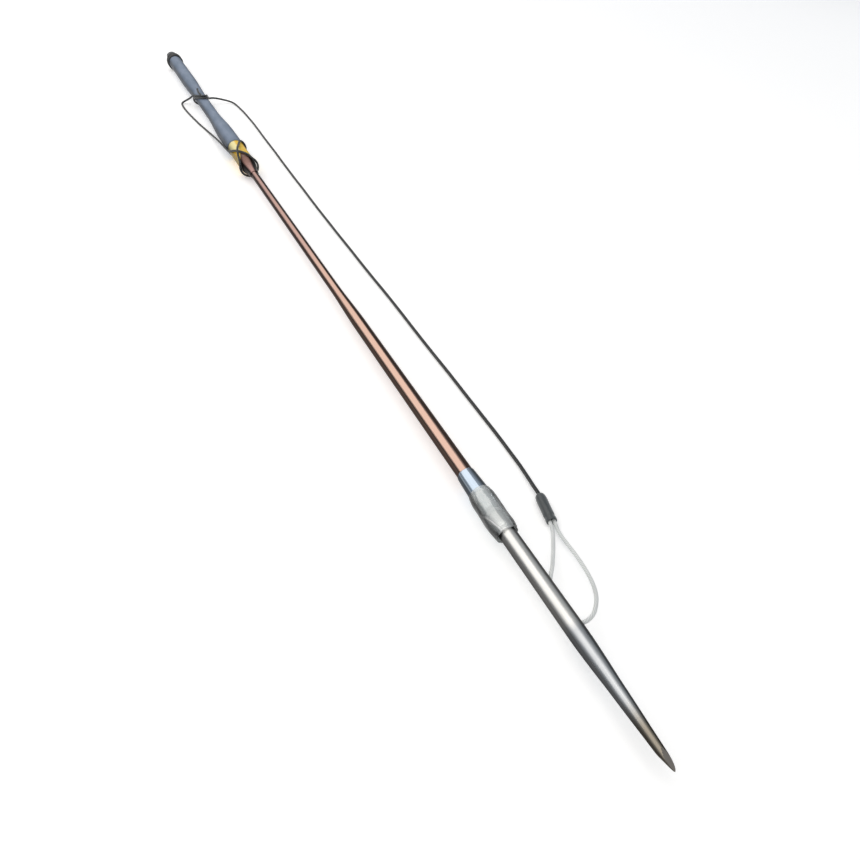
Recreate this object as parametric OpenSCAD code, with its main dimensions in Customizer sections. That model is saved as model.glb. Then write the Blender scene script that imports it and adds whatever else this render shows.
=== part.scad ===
// Slip-tip pole spear lying on a flat surface. X runs along the spear, with the
// point at +X, and Z is up. Z = 0 is the surface that it rests on.

/* [Slip tip] */
// Length of the loose steel tip
tip_len = 145; // [120:1:180]
// Diameter of its straight part
tip_d = 9.5; // [9:0.1:12]
// Length of its taper, measured back from the point
tip_taper_len = 64; // [40:1:66]
// Length of the ground three-sided point
point_len = 8; // [6:0.5:12]
// Diameter where the ground point starts
point_d = 4.2; // [3:0.1:5]
// Depth of the socket in its rear end
socket_depth = 40; // [30:1:43]
// Distance from the point to the front cable hole
front_hole_from_point = 71; // [70:1:74]
// Distance between the two cable holes
hole_pitch = 27; // [25:1:30]
// Diameter of the cable holes and of the drilling that joins them
cable_hole_d = 3.2; // [3:0.1:3.6]
// Slope of the rear cable hole to the tip's axis
rear_hole_angle = 36; // [30:1:45]
// Slope of the front cable hole to the tip's axis
front_hole_angle = 60; // [50:1:75]

/* [Adapter] */
// Diameter of the spigot that carries the tip
spigot_d = 5.5; // [4.5:0.1:6.5]
// Gap between the spigot's end and the socket's end
spigot_end_gap = 1; // [0.5:0.1:3]
// Diameter of the adapter's collar
collar_d = 13.4; // [12.8:0.1:14]
// Length of the adapter's collar
collar_len = 14; // [8:1:20]
// Diameter of the threaded shank behind the collar
thread_d = 5; // [4:0.1:5.4]
// Length of the threaded shank behind the collar
shank_len = 30; // [22:1:36]
// Thickness of the cushion ring between collar and tip
cushion_t = 2; // [1:0.1:3]
// Thickness of the rubber ring in the spigot's groove
spigot_ring_t = 1.2; // [0.8:0.1:1.6]

/* [Clear wrap] */
// Length of the clear film over the tip's joint
wrap_len = 35; // [28:1:38]
// Thickness of the wound film
wrap_t = 0.5; // [0.3:0.05:0.8]
// Gap between the film's front lip and the tip
wrap_lip_gap = 0.5; // [0.3:0.1:1]

/* [Shaft] */
// Length of the polished ferrule
ferrule_len = 18; // [14:1:30]
// Diameter of the ferrule at its front
ferrule_front_d = 12.2; // [11.8:0.1:12.6]
// Diameter of the ferrule at its rear
ferrule_rear_d = 10.8; // [10.6:0.1:11.6]
// Thickness of the ferrule's front wall
ferrule_wall = 3; // [2:0.5:6]
// Length of the copper-coloured shaft
shaft_len = 571; // [480:1:640]
// Diameter of the shaft's front part
shaft_front_d = 9.8; // [9:0.1:10.2]
// Diameter of the shaft's rear part
shaft_rear_d = 7.9; // [7.4:0.1:8.6]
// Length of the shaft's front part
shaft_front_len = 186; // [120:1:240]
// Length of the taper between the two parts
shaft_taper_len = 60; // [20:1:120]
// Diameter of the threaded insert in the shaft's front
insert_d = 7.2; // [6.6:0.1:7.6]
// Length of the threaded insert
insert_len = 34; // [25:1:45]
// Length of the stud between shaft and pole
stud_len = 50; // [40:1:58]

/* [Pole] */
// Length of the pole's steel core tube
core_len = 490; // [440:1:560]
// Outside diameter of the core tube
core_d = 13.2; // [12.6:0.1:13.6]
// Wall of the core tube
core_wall = 1.5; // [1:0.1:2]
// Length of the coupler's part inside the core tube
coupler_len = 69; // [66:1:90]
// Length of the coupler's head in front of the core tube
coupler_head_len = 8; // [5:1:9]
// Depth to which the shaft enters the coupler
shaft_seat = 37; // [28:1:40]
// Diameter of the cross pins
pin_d = 3; // [2:0.5:3.5]
// Length of the dark nose boot
boot_len = 34; // [28:1:45]
// Diameter of the boot at its rear
boot_rear_d = 17.6; // [16.5:0.1:18]
// Thickness of the boot's lip on the shaft
boot_lip = 0.5; // [0.3:0.1:1]
// Length of the yellow band
band_len = 54; // [45:1:70]
// Diameter of the yellow band
band_d = 18; // [17:0.1:19]
// Diameter of the pole's sleeve behind the band
sleeve_front_d = 19.4; // [18:0.1:20]
// Length of the thick part behind the band
barrel_len = 50; // [30:1:70]
// Length of the neck between the thick part and the waist
neck_len = 80; // [50:1:100]
// Diameter of the sleeve at its waist
waist_d = 14.6; // [14.5:0.1:17]
// Length of the waist
waist_len = 64; // [50:1:80]
// Length over which the sleeve widens behind the waist
rear_flare_len = 115; // [90:1:140]
// Diameter of the sleeve behind that
sleeve_rear_d = 19; // [18:0.1:20]

/* [Butt] */
// Length of the rubber ring that the butt rests on
butt_ring_len = 16; // [10:1:24]
// Length of the butt plug's head
eye_head_len = 24; // [20:1:32]
// Diameter of the butt plug's head
eye_head_d = 18; // [16:0.5:20]
// Distance between the head's two flats
eye_flats = 15; // [12:0.5:15.5]
// Diameter of the cross hole for a power band
eye_d = 6.4; // [5:0.1:8]
// Length of the plug inside the core tube
plug_len = 56; // [40:1:80]

/* [Line and cable] */
// Diameter of the braided line
line_d = 2.4; // [2:0.1:2.6]
// Diameter of the coated cable
cable_d = 2.2; // [1.8:0.1:2.4]
// Diameter of the shrunk sleeve over the crimp
shrink_d = 6.3; // [6:0.1:7]
// Wall of the shrunk sleeve
shrink_wall = 0.4; // [0.3:0.05:0.5]
// Length of the shrunk sleeve
shrink_len = 20.5; // [18:0.5:24]
// Length of the crimp inside it
crimp_len = 12; // [10:0.5:14]
// Passes of the hitch over the pole's waist
hitch_passes = 2; // [1:1:2]
// Distance between two turns of the hitch
hitch_pitch = 9.5; // [9:0.1:11]
// How far the hitch falls back from its top to its underside
hitch_lean = 36; // [26:1:37]
// Length of the line's free tail behind the hitch
tail_len = 31; // [15:1:40]
// Diameter of the stopper knot
knot_d = 5.2; // [4:0.1:5.6]

/* [Hidden] */
$fn = 64;

// Clearances: of pieces that are pushed, screwed or glued together, of the
// tip on its spigot, and of the line on what it is tied round
fit = 0.04;
running = 0.05;
lay_gap = 0.1;

// Stations along the spear, measured back from the point
cushion_at = tip_len;
collar_at = cushion_at + cushion_t;
ferrule_at = collar_at + collar_len;
shaft_at = ferrule_at + ferrule_wall;
shaft_end = shaft_at + shaft_len;
seat_front = shaft_end - shaft_seat;
core_at = seat_front + coupler_head_len;
core_end = core_at + core_len;
boot_at = core_at - boot_len;
band_at = core_at;
sleeve_at = band_at + band_len;
butt_ring_at = core_end - butt_ring_len;
overall = core_end + eye_head_len;

// Height of the axis: the butt ring and the lashing both touch the surface
axis_z = band_d/2 + lay_gap + line_d;

function x_at(back) = overall/2 - back;

// Points of a turned outline, from [distance behind the point, radius]
function outline(p) = [for (q = p) [q[1], q[0]]];

// Turns a half section about the spear's axis. Its points are [radius,
// distance behind the point].
module turned(section) {
    translate([x_at(0), 0, axis_z]) rotate([0, -90, 0])
        rotate_extrude() polygon(section);
}

// A straight rod along the axis between two stations
module rod(from, to, d) {
    translate([x_at(from), 0, axis_z]) rotate([0, -90, 0])
        cylinder(d = d, h = to - from);
}

// A rod across the axis, along Y
module cross_rod(at, d, len) {
    translate([x_at(at), 0, axis_z]) rotate([90, 0, 0])
        cylinder(d = d, h = len, center = true);
}

// A round ring whose section is a circle
module o_ring(at, centre_r, t) {
    translate([x_at(at), 0, axis_z]) rotate([0, -90, 0])
        rotate_extrude() translate([centre_r, 0]) circle(d = t, $fn = 24);
}

// Smooth step from 0 to 1
function ease(u) = (1 - cos(180*min(max(u, 0), 1)))/2;
function mix(a, b, u) = a + (b - a)*u;
function unit(v) = v/norm(v);

// Tangents of a route, one for each point
function tangents(p) = [for (i = [0:len(p) - 1])
    unit(p[min(i + 1, len(p) - 1)] - p[max(i - 1, 0)])];

// Side vectors of a route, turned as little as possible from ring to ring
function sides(t, first) = [for (i = 0, n = unit(first - (first*t[0])*t[0]);
    i < len(t);
    i = i + 1, n = i < len(t) ? unit(n - (n*t[i])*t[i]) : n) n];

// One tube along a route, with flat ends
module tube(p, d, n, first = [0, 0, 1]) {
    t = tangents(p);
    s = sides(t, first);
    last = len(p) - 1;
    pts = [for (i = [0:last], k = [0:n - 1])
        p[i] + d/2*(s[i]*cos(360*k/n) + cross(t[i], s[i])*sin(360*k/n))];
    skin = [for (i = [0:last - 1], k = [0:n - 1])
        let (a = i*n + k, b = i*n + (k + 1) % n)
        each [[a, a + n, b], [b, a + n, b + n]]];
    caps = [for (k = [1:n - 2])
        each [[0, k, k + 1], [last*n, last*n + k + 1, last*n + k]]];
    polyhedron(points = pts, faces = concat(skin, caps));
}

// A point on a circle about the axis, at a station given as an X
function round_at(x, r, angle) = [x, r*cos(angle), axis_z + r*sin(angle)];

// Least gap of a tube to its own other turns, on points that are more than
// a given number of steps apart
function self_gap(p, d, apart) = min([for (i = [0:len(p) - 1])
    for (j = [i + apart:1:len(p) - 1]) norm(p[i] - p[j])]) - d;

// Cable holes of the tip, as X along the spear
front_hole_x = x_at(front_hole_from_point);
rear_hole_x = x_at(front_hole_from_point + hole_pitch);
rear_hole_in = [rear_hole_x + tip_d/2/tan(rear_hole_angle), 0, axis_z];
front_hole_in = [front_hole_x - tip_d/2/tan(front_hole_angle), 0, axis_z];

module slip_tip() color("#c9c9c4") difference() {
    turned(outline([[0, 0], [0.6, 0.55], [point_len*0.45, point_d*0.42],
        [point_len, point_d/2], [point_len + 14, point_d/2 + 0.7],
        [point_len + 32, point_d/2 + 1.55],
        [tip_taper_len - 8, tip_d/2 - 0.2], [tip_taper_len, tip_d/2],
        [tip_len - 0.5, tip_d/2], [tip_len, tip_d/2 - 0.5], [tip_len, 0]]));
    // Socket for the spigot, and the drilling ahead of it for the cable
    rod(tip_len - socket_depth, tip_len + 1, spigot_d + 2*running);
    rod(front_hole_from_point + tip_d/2/tan(front_hole_angle),
        tip_len - socket_depth + 1, cable_hole_d);
    // Rear cable hole, sloping forward and inward
    translate(rear_hole_in) rotate([0, 0, -rear_hole_angle])
        rotate([0, -90, 0]) cylinder(d = cable_hole_d, h = tip_d*2);
    // Front cable hole
    translate(front_hole_in) rotate([0, 0, front_hole_angle])
        rotate([0, 90, 0]) cylinder(d = cable_hole_d, h = tip_d);
    // Three ground flats that meet at the point
    for (turn = [0, 120, 240])
        translate([x_at(0), 0, axis_z]) rotate([turn + 115, 0, 0])
            rotate([0, atan(point_d*0.40/point_len), 0])
                translate([-point_len*1.6, -tip_d, 0.25])
                    cube([point_len*2, 2*tip_d, tip_d]);
}

groove_at = tip_len - socket_depth*0.45;
groove_r = spigot_d/2 - spigot_ring_t;

module tip_adapter() color("#b9bcbf") difference() {
    union() {
        rod(tip_len - socket_depth + spigot_end_gap, collar_at + 1, spigot_d);
        turned(outline([[collar_at, 0], [collar_at, collar_d/2 - 0.6],
            [collar_at + 0.6, collar_d/2], [ferrule_at - 0.6, collar_d/2],
            [ferrule_at, collar_d/2 - 0.6], [ferrule_at, 0]]));
        rod(ferrule_at - 1, ferrule_at + shank_len, thread_d);
    }
    // Groove for the rubber ring
    turned(outline([[groove_at - spigot_ring_t/2, groove_r],
        [groove_at - spigot_ring_t/2, spigot_d], [groove_at + spigot_ring_t/2, spigot_d],
        [groove_at + spigot_ring_t/2, groove_r]]));
}

module spigot_ring() color("#202020")
    o_ring(groove_at, spigot_d/2 + running/2 - spigot_ring_t/2 + 0.05, spigot_ring_t - 0.1);

module cushion_ring() color("#303234")
    turned(outline([[cushion_at, spigot_d/2 + fit], [cushion_at, tip_d/2],
        [collar_at, tip_d/2], [collar_at, spigot_d/2 + fit]]));

wrap_end = ferrule_at + 1.6;
wrap_at = wrap_end - wrap_len;
wrap_in = collar_d/2 + fit;
lip_in = tip_d/2 + wrap_lip_gap;

module clear_wrap() color([0.85, 0.88, 0.87, 0.5])
    turned(outline([[wrap_at, lip_in], [wrap_at, lip_in + wrap_t],
        [wrap_at + 3, lip_in + wrap_t], [wrap_at + 9, wrap_in + wrap_t],
        [wrap_end - 3, wrap_in + wrap_t], [wrap_end, ferrule_front_d/2 + fit + wrap_t],
        [wrap_end, ferrule_front_d/2 + fit], [ferrule_at + 0.1, wrap_in],
        [wrap_at + 9.4, wrap_in], [wrap_at + 3.2, lip_in]]));

module front_ferrule() color("#c8d2de")
    turned(outline([[ferrule_at, thread_d/2 + fit], [ferrule_at, ferrule_front_d/2 - 0.4],
        [ferrule_at + 0.4, ferrule_front_d/2],
        [ferrule_at + ferrule_len - 0.3, ferrule_rear_d/2],
        [ferrule_at + ferrule_len, ferrule_rear_d/2 - 0.3],
        [ferrule_at + ferrule_len, shaft_front_d/2 + fit],
        [shaft_at, shaft_front_d/2 + fit], [shaft_at, thread_d/2 + fit]]));

module shaft_insert() color("#a8a8a4")
    turned(outline([[shaft_at, thread_d/2 + fit], [shaft_at, insert_d/2],
        [shaft_at + insert_len, insert_d/2], [shaft_at + insert_len, thread_d/2 + fit]]));

module front_shaft() color("#a06a4e")
    turned(outline([[shaft_at, insert_d/2 + fit], [shaft_at, shaft_front_d/2],
        [shaft_at + shaft_front_len, shaft_front_d/2],
        [shaft_at + shaft_front_len + shaft_taper_len, shaft_rear_d/2],
        [shaft_end, shaft_rear_d/2], [shaft_end, thread_d/2 + fit],
        [shaft_at + insert_len + fit, thread_d/2 + fit],
        [shaft_at + insert_len + fit, insert_d/2 + fit]]));

stud_at = shaft_end - stud_len/2;

module rear_stud() color("#9a9a96") rod(stud_at, stud_at + stud_len, thread_d);

core_in = core_d/2 - core_wall;
coupler_end = core_at + coupler_len;
coupler_pin_at = coupler_end - 2*pin_d;
seal_t = 1;
coupler_seal_at = core_at + 5;
plug_seal_at = core_end - plug_len + 5;

// Groove for a seal, cut into what fills the core tube
module seal_groove(at)
    turned(outline([[at - 0.6*seal_t, core_in - seal_t], [at - 0.6*seal_t, core_in + 1],
        [at + 0.6*seal_t, core_in + 1], [at + 0.6*seal_t, core_in - seal_t]]));

module pole_coupler() color("#b0a078") difference() {
    turned(outline([[seat_front, 0], [seat_front, core_d/2 - 1],
        [seat_front + 1, core_d/2], [core_at, core_d/2], [core_at, core_in - fit],
        [coupler_end, core_in - fit], [coupler_end, 0]]));
    rod(seat_front - 1, shaft_end + fit, shaft_rear_d + 2*fit);
    rod(shaft_end - 1, stud_at + stud_len + 1, thread_d + 2*fit);
    cross_rod(coupler_pin_at, pin_d + 2*fit, 4*core_d);
    seal_groove(coupler_seal_at);
}

module coupler_pin() color("#c0c0c0") cross_rod(coupler_pin_at, pin_d, core_d - 0.4);

module tube_seals() color("#181818")
    for (at = [coupler_seal_at, plug_seal_at])
        o_ring(at, core_in - fit/2 - seal_t/2 + 0.04, seal_t - 0.1);

module core_tube() color("#8a8f94") difference() {
    rod(core_at, core_end, core_d);
    rod(core_at - 1, core_end + 1, 2*core_in);
    cross_rod(coupler_pin_at, pin_d + 2*fit, 2*core_d);
    cross_rod(plug_pin_at, pin_d + 2*fit, 2*core_d);
}

boot_lip_r = shaft_rear_d/2 + fit + boot_lip;

module nose_boot() color("#2a1c16")
    turned(outline(concat([[boot_at, shaft_rear_d/2 + fit]],
        [for (u = [0:0.125:1])
            [boot_at + boot_len*u, mix(boot_lip_r, boot_rear_d/2, ease(u*0.93 + 0.02)/ease(0.95))]],
        [[core_at, core_d/2 + fit], [seat_front - fit, core_d/2 + fit],
        [seat_front - fit, shaft_rear_d/2 + fit]])));

module yellow_band() color("#f0c52e")
    turned(outline([[band_at, core_d/2 + fit], [band_at, band_d/2 - 0.5],
        [band_at + 0.5, band_d/2], [sleeve_at, band_d/2], [sleeve_at, core_d/2 + fit]]));

// Radius of the sleeve at a distance behind the band
waist_from = barrel_len + neck_len;
waist_to = waist_from + waist_len;
function sleeve_r(s) = (s < waist_to
    ? mix(sleeve_front_d, waist_d, ease((s - barrel_len)/neck_len))
    : mix(waist_d, sleeve_rear_d, ease((s - waist_to)/rear_flare_len)))/2;

module pole_sleeve() color("#6f7f8f")
    turned(outline(concat([[sleeve_at, core_d/2 + fit], [sleeve_at, sleeve_r(0) - 0.5],
        [sleeve_at + 0.5, sleeve_r(0)]],
        [for (k = [0:8]) let (s = barrel_len + k*neck_len/8)
            [sleeve_at + s, sleeve_r(s)]],
        [for (k = [0:8]) let (s = waist_to + k*rear_flare_len/8)
            [sleeve_at + s, sleeve_r(s)]],
        [[butt_ring_at, sleeve_rear_d/2], [butt_ring_at, core_d/2 + fit]])));

plug_pin_at = core_end - plug_len*0.55;

module butt_plug() color("#9aa0a6") difference() {
    turned(outline([[core_end - plug_len, 0], [core_end - plug_len, core_in - fit - 0.6],
        [core_end - plug_len + 0.6, core_in - fit], [core_end, core_in - fit],
        [core_end, eye_head_d/2 - 0.6], [core_end + 0.6, eye_head_d/2],
        [overall - 5, eye_head_d/2], [overall - 2.2, eye_head_d/2 - 1.4],
        [overall - 0.6, eye_head_d/2 - 4], [overall, eye_head_d/2 - 6], [overall, 0]]));
    for (side = [-1, 1])
        translate([x_at(overall + 1), side*(eye_flats/2 + eye_head_d/2) - eye_head_d/2,
            axis_z - eye_head_d])
            cube([eye_head_len - 1, eye_head_d, 2*eye_head_d]);
    cross_rod(eye_at, eye_d, 2*eye_head_d);
    cross_rod(plug_pin_at, pin_d + 2*fit, 2*core_d);
    seal_groove(plug_seal_at);
}
eye_at = core_end + eye_head_len/2;

module plug_pin() color("#c0c0c0") cross_rod(plug_pin_at, pin_d, core_d - 0.4);

module butt_ring() color("#1d1f21")
    turned(outline([[butt_ring_at, core_d/2 + fit], [butt_ring_at, axis_z - 2],
        [butt_ring_at + 0.6, axis_z - 0.8], [butt_ring_at + 2, axis_z],
        [core_end - 2, axis_z], [core_end - 0.6, axis_z - 0.8],
        [core_end, axis_z - 2], [core_end, core_d/2 + fit]]));

// Routes of the free line and cable. They lie on the surface, or rise from it
// to what holds them.
shrink_rear = [455, 34.2, 3.2];
shrink_dir = unit([24.8, -5.2, 0]);
shrink_front = shrink_rear + shrink_len*shrink_dir;
leg_side = [-shrink_dir[1], shrink_dir[0], 0];

line_route = [shrink_rear - 0.4*shrink_dir, [446.5, 35.1, 2.9], [438.2, 36.1, 2.4],
    [428.2, 37.2, 1.8], [414, 38, 1.3], [398, 38.5, 1.3], [378, 38.7, 1.3],
    [354, 38.9, 1.3], [328, 39.2, 1.3], [300, 39.2, 1.3], [270, 39.4, 1.3],
    [240, 39.8, 1.3], [210, 40, 1.3], [180, 39.8, 1.3], [150, 39.8, 1.3],
    [120, 40, 1.3], [90, 40, 1.3], [60, 40.2, 1.3], [30, 40.4, 1.3], [0, 40.8, 1.3],
    [-30, 41.4, 1.3], [-60, 41.7, 1.3], [-90, 42.2, 1.3], [-120, 42.8, 1.3],
    [-150, 43.6, 1.3], [-180, 44, 1.3], [-210, 44.5, 1.3], [-240, 45.2, 1.3],
    [-268, 45.6, 1.3], [-292, 45.4, 1.3], [-312, 45.2, 1.3], [-331, 44.3, 1.4],
    [-345.6, 43.2, 1.7], [-356.5, 41.6, 2.1], [-363.5, 39, 2.6], [-367.8, 35.2, 3.4],
    [-369.4, 30.4, 4.8], [-369.9, 25.3, 6.4], [-369.7, 19.7, 8], [-367.3, 14.2, 9.4],
    [-363.8, 10.3, 10.2]];

bight_route = [[-371.3, -9.9, 13.2], [-376.5, -12.7, 10], [-382.6, -15.1, 7],
    [-388.6, -16.9, 4.6], [-391.6, -19.6, 2.6], [-389.4, -22.6, 1.5], [-378, -23.8, 1.3],
    [-363.2, -23.7, 1.3], [-346.7, -22.9, 1.3], [-326.5, -21.3, 1.3], [-306.5, -19.4, 1.3],
    [-287.3, -17.5, 1.3], [-267.7, -15, 1.3], [-251, -13.3, 1.8], [-239, -12.7, 3],
    [-221, -12.3, 5.2], [-201, -11.9, 7.6], [-183, -11.5, 9.4], [-168, -11.3, 10.8],
    [-152, -11.1, 12.2]];

// Hitch round the waist, from the line's end to the bight's start
hitch_x = x_at(sleeve_at + waist_to - hitch_pitch*hitch_passes/2);
hitch_top = 88;
hitch_from = 0;
hitch_to = 160 + 360*(hitch_passes - 1);
hitch_mid = (hitch_from + hitch_to)/2;
function off_top(angle) = abs(angle - hitch_top - 360*round((angle - hitch_top)/360));
// Radius at which the line lies on the sleeve
function on_sleeve(x, lift) = sleeve_r(x_at(sleeve_at) - x) + lay_gap + lift + line_d/2;
function hitch_point(angle) = let (x = hitch_x - hitch_lean*ease(off_top(angle)/110)
    - hitch_pitch*(angle - hitch_mid)/360) round_at(x, on_sleeve(x, 0.2), angle);
hitch_steps = ceil((hitch_to - hitch_from)/10);
hitch_turns = [for (i = [0:hitch_steps]) hitch_point(mix(hitch_from, hitch_to, i/hitch_steps))];

// Lashing that crosses over the yellow band. It passes under the boot in
// front of the band and ends at the band's rear.
lash_r = band_d/2 + lay_gap + line_d/2;
lash_front_x = x_at(band_at - 9);
lash_rear_x = x_at(sleeve_at - line_d);
lash_reach = 55;
lash_from = 8;
lash_to = 566;
function lash_x(turn) = turn < 200
    ? lash_front_x - lash_reach*pow(max(1 - turn/130, 0), 1.1)
    : mix(lash_front_x, lash_rear_x, ease((turn - 375)/120));
// The line lies closer in on the boot than on the band
lash_drop = 0.8;
// Turn at which the second pass crosses the first, and the hump over it
lash_cross = 428;
lash_hump = line_d + 0.6;
function lash_lift(turn) = lash_hump*exp(-pow((turn - lash_cross)/20, 2))
    - lash_drop*ease((lash_x(turn) - x_at(band_at) + 1)/9);
lash_steps = 54;
lash_turns = [for (i = [0:lash_steps]) let (turn = mix(lash_from, lash_to, i/lash_steps))
    round_at(lash_x(turn), lash_r + lash_lift(turn), 180 - turn)];

// Stopper knot, set against the lashing's end
knot_r = band_d/2 + lay_gap + knot_d/2;
knot_turn = acos((knot_r*knot_r + lash_r*lash_r - pow(knot_d/2 + 4*lay_gap, 2))
    /(2*knot_r*lash_r));

// A point just before a route's first point, or just after its last
join_gap = 0.5;
function before(p) = p[0] - join_gap*unit(p[1] - p[0]);
function after(p) = p[len(p) - 1] + join_gap*unit(p[len(p) - 1] - p[len(p) - 2]);

line_whole = concat(line_route, [before(hitch_turns)]);
bight_whole = concat([after(hitch_turns)], bight_route, [before(lash_turns)]);

function path_len(p) = len(p) < 2 ? 0
    : norm(p[1] - p[0]) + path_len([for (i = [1:1:len(p) - 1]) p[i]]);

echo(hitch_gap = self_gap(hitch_turns, line_d, 12));
echo(lashing_gap = self_gap(lash_turns, line_d, 12));
echo(line_length = path_len(line_whole), hitch_length = path_len(hitch_turns),
    bight_length = path_len(bight_whole), lashing_length = path_len(lash_turns));

// Cable legs, from the crimp to the tip's holes and along the drilling
crimp_front = shrink_front - 2*shrink_dir;
leg_gap = cable_d/2 + 0.15;
leg_meet = mix(rear_hole_in[0], front_hole_in[0], 0.55);
rear_leg_route = [crimp_front - crimp_len/2*shrink_dir - leg_gap*leg_side,
    shrink_front - leg_gap*leg_side, [481.2, 26.4, 3.6], [487.6, 22.6, 4.6],
    [493.9, 18.5, 6], [499.6, 14.5, 7.6], [504.2, 11.2, 9.2], [508.2, 7.9, axis_z - 0.6],
    [rear_hole_x, tip_d/2, axis_z], [rear_hole_in[0] - 1.5, 1.09, axis_z],
    [rear_hole_in[0] + 1.5, 0, axis_z], [leg_meet, 0, axis_z]];
front_leg_route = [crimp_front - crimp_len/2*shrink_dir + leg_gap*leg_side,
    shrink_front + leg_gap*leg_side, [480.9, 29.9, 3], [485.5, 29.3, 2.9],
    [492.4, 28.8, 3.6], [499.3, 28.2, 4.6], [506.1, 27.3, 5.6], [514.9, 25.6, 7],
    [522.6, 23.2, 8.3], [528.7, 20.2, 9.4], [533.1, 16.8, 10.2], [536.6, 13.1, axis_z - 0.7],
    [538.6, 9.2, axis_z - 0.2], [front_hole_x, tip_d/2, axis_z],
    [front_hole_in[0] + 0.75, 1.3, axis_z], [front_hole_in[0] - 1.4, 0, axis_z],
    [leg_meet + 1, 0, axis_z]];

module cable_leg_rear() color("#d5d8d8") tube(rear_leg_route, cable_d, 8);
module cable_leg_front() color("#d5d8d8") tube(front_leg_route, cable_d, 8);

// Places a flat outline across the crimp and draws it out along it
module along_shrink(from, len) {
    translate(shrink_rear + from*shrink_dir)
        rotate([0, 90, atan2(shrink_dir[1], shrink_dir[0])])
            linear_extrude(len) children();
}

crimp_from = shrink_len - 2 - crimp_len;

// The crimp is a soft metal ferrule with a hole for each leg of the cable
module cable_crimp() color("#b08050") difference() {
    along_shrink(crimp_from, crimp_len) circle(d = shrink_d - 2*shrink_wall - 0.1);
    along_shrink(crimp_from + crimp_len/2 - 1, crimp_len)
        for (side = [-1, 1])
            translate([0, side*leg_gap]) circle(d = cable_d + 0.1);
}

module shrink_sleeve() color("#3c4042") difference() {
    union() {
        along_shrink(0, shrink_len - 4) circle(d = shrink_d);
        along_shrink(shrink_len - 4.2, 4.2) circle(d = shrink_d - 0.3);
    }
    along_shrink(crimp_from - 0.2, crimp_len + 3) circle(d = shrink_d - 2*shrink_wall);
    along_shrink(-1, shrink_len) circle(d = line_d + 0.2);
}

module shooting_line() color("#26292a") tube(line_whole, line_d, 8);
module line_hitch() color("#26292a") tube(hitch_turns, line_d, 6);

tail_x = hitch_x - hitch_pitch*(hitch_passes - 1)/2 - 1.8*line_d - join_gap;
module line_tail() color("#26292a")
    tube([for (u = [0:0.25:1]) let (x = tail_x - tail_len*u)
        round_at(x, on_sleeve(x, 0.25), 95 + 8*sin(180*u))], line_d, 8, [0, 1, 0]);

module line_bight() color("#26292a") tube(bight_whole, line_d, 8);
module line_lashing() color("#26292a") tube(lash_turns, line_d, 6);
module line_knot() color("#26292a")
    translate(round_at(lash_rear_x, knot_r, 180 - lash_to - knot_turn)) sphere(d = knot_d);

slip_tip();
tip_adapter();
spigot_ring();
cushion_ring();
clear_wrap();
front_ferrule();
shaft_insert();
front_shaft();
rear_stud();
pole_coupler();
coupler_pin();
tube_seals();
core_tube();
nose_boot();
yellow_band();
pole_sleeve();
butt_plug();
plug_pin();
butt_ring();
cable_leg_rear();
cable_leg_front();
cable_crimp();
shrink_sleeve();
shooting_line();
line_hitch();
line_tail();
line_bight();
line_lashing();
line_knot();
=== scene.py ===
"""Looks of a slip-tip pole spear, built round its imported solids.

The spear lies along X with its point at +X. Stations are distances behind the
point, in millimetres, as a maker would mark them along the spear. An angle
about the spear's axis starts at +Y and goes up over the top.
"""
import logging
import math
from dataclasses import dataclass, field
from enum import Enum
from functools import cache, cached_property
from typing import Callable, Iterator, Optional, Sequence, Union

import bpy
from bpy.types import Material, Node, NodeSocket, Object
from mathutils import Euler, Matrix, Vector, noise


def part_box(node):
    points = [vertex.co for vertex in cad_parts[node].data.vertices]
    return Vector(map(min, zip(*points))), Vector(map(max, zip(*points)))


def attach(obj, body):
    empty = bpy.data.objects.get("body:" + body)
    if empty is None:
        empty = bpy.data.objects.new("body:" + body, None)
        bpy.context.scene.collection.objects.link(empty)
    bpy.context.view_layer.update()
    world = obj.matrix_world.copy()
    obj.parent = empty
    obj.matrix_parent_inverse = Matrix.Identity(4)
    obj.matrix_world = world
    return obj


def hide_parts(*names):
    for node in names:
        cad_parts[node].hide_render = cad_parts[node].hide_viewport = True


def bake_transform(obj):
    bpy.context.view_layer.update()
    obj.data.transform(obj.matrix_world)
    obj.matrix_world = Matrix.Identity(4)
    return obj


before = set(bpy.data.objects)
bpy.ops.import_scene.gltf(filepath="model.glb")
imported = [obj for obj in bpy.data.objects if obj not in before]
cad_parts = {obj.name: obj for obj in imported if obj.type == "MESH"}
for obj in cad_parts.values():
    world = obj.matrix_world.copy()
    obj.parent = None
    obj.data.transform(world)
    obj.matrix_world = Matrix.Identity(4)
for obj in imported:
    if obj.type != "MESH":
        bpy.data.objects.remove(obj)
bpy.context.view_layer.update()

LOG = logging.getLogger("pole_spear")
MM = 0.001

Point = tuple[float, float, float]
Outline = Sequence[tuple[float, float]]


class Body(Enum):
    """The bodies that a piece can ride on."""

    POLE = "pole"
    TIP = "slip_tip"


class Ends(Enum):
    """How a turned outline is closed."""

    SOLID = "solid"
    RING = "ring"
    OPEN = "open"


@dataclass(frozen=True)
class Datum:
    """Where the spear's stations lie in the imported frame.

    Args:
        point_x: X of the tip's point, in metres.
        axis_z: Height of the spear's axis, in metres.
    """

    point_x: float
    axis_z: float

    def at(self, station: float, radius: float = 0, angle: float = 0) -> Vector:
        """Place at a station, at a radius in millimetres and an angle in degrees."""
        turn = math.radians(angle)
        return Vector((self.point_x - station * MM, radius * MM * math.cos(turn),
                       self.axis_z + radius * MM * math.sin(turn)))

    def polar(self, place: Vector) -> Point:
        """Station, radius and angle of a place, in millimetres and degrees."""
        up = place.z - self.axis_z
        return ((self.point_x - place.x) / MM, math.hypot(place.y, up) / MM,
                math.degrees(math.atan2(up, place.y)))


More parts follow.
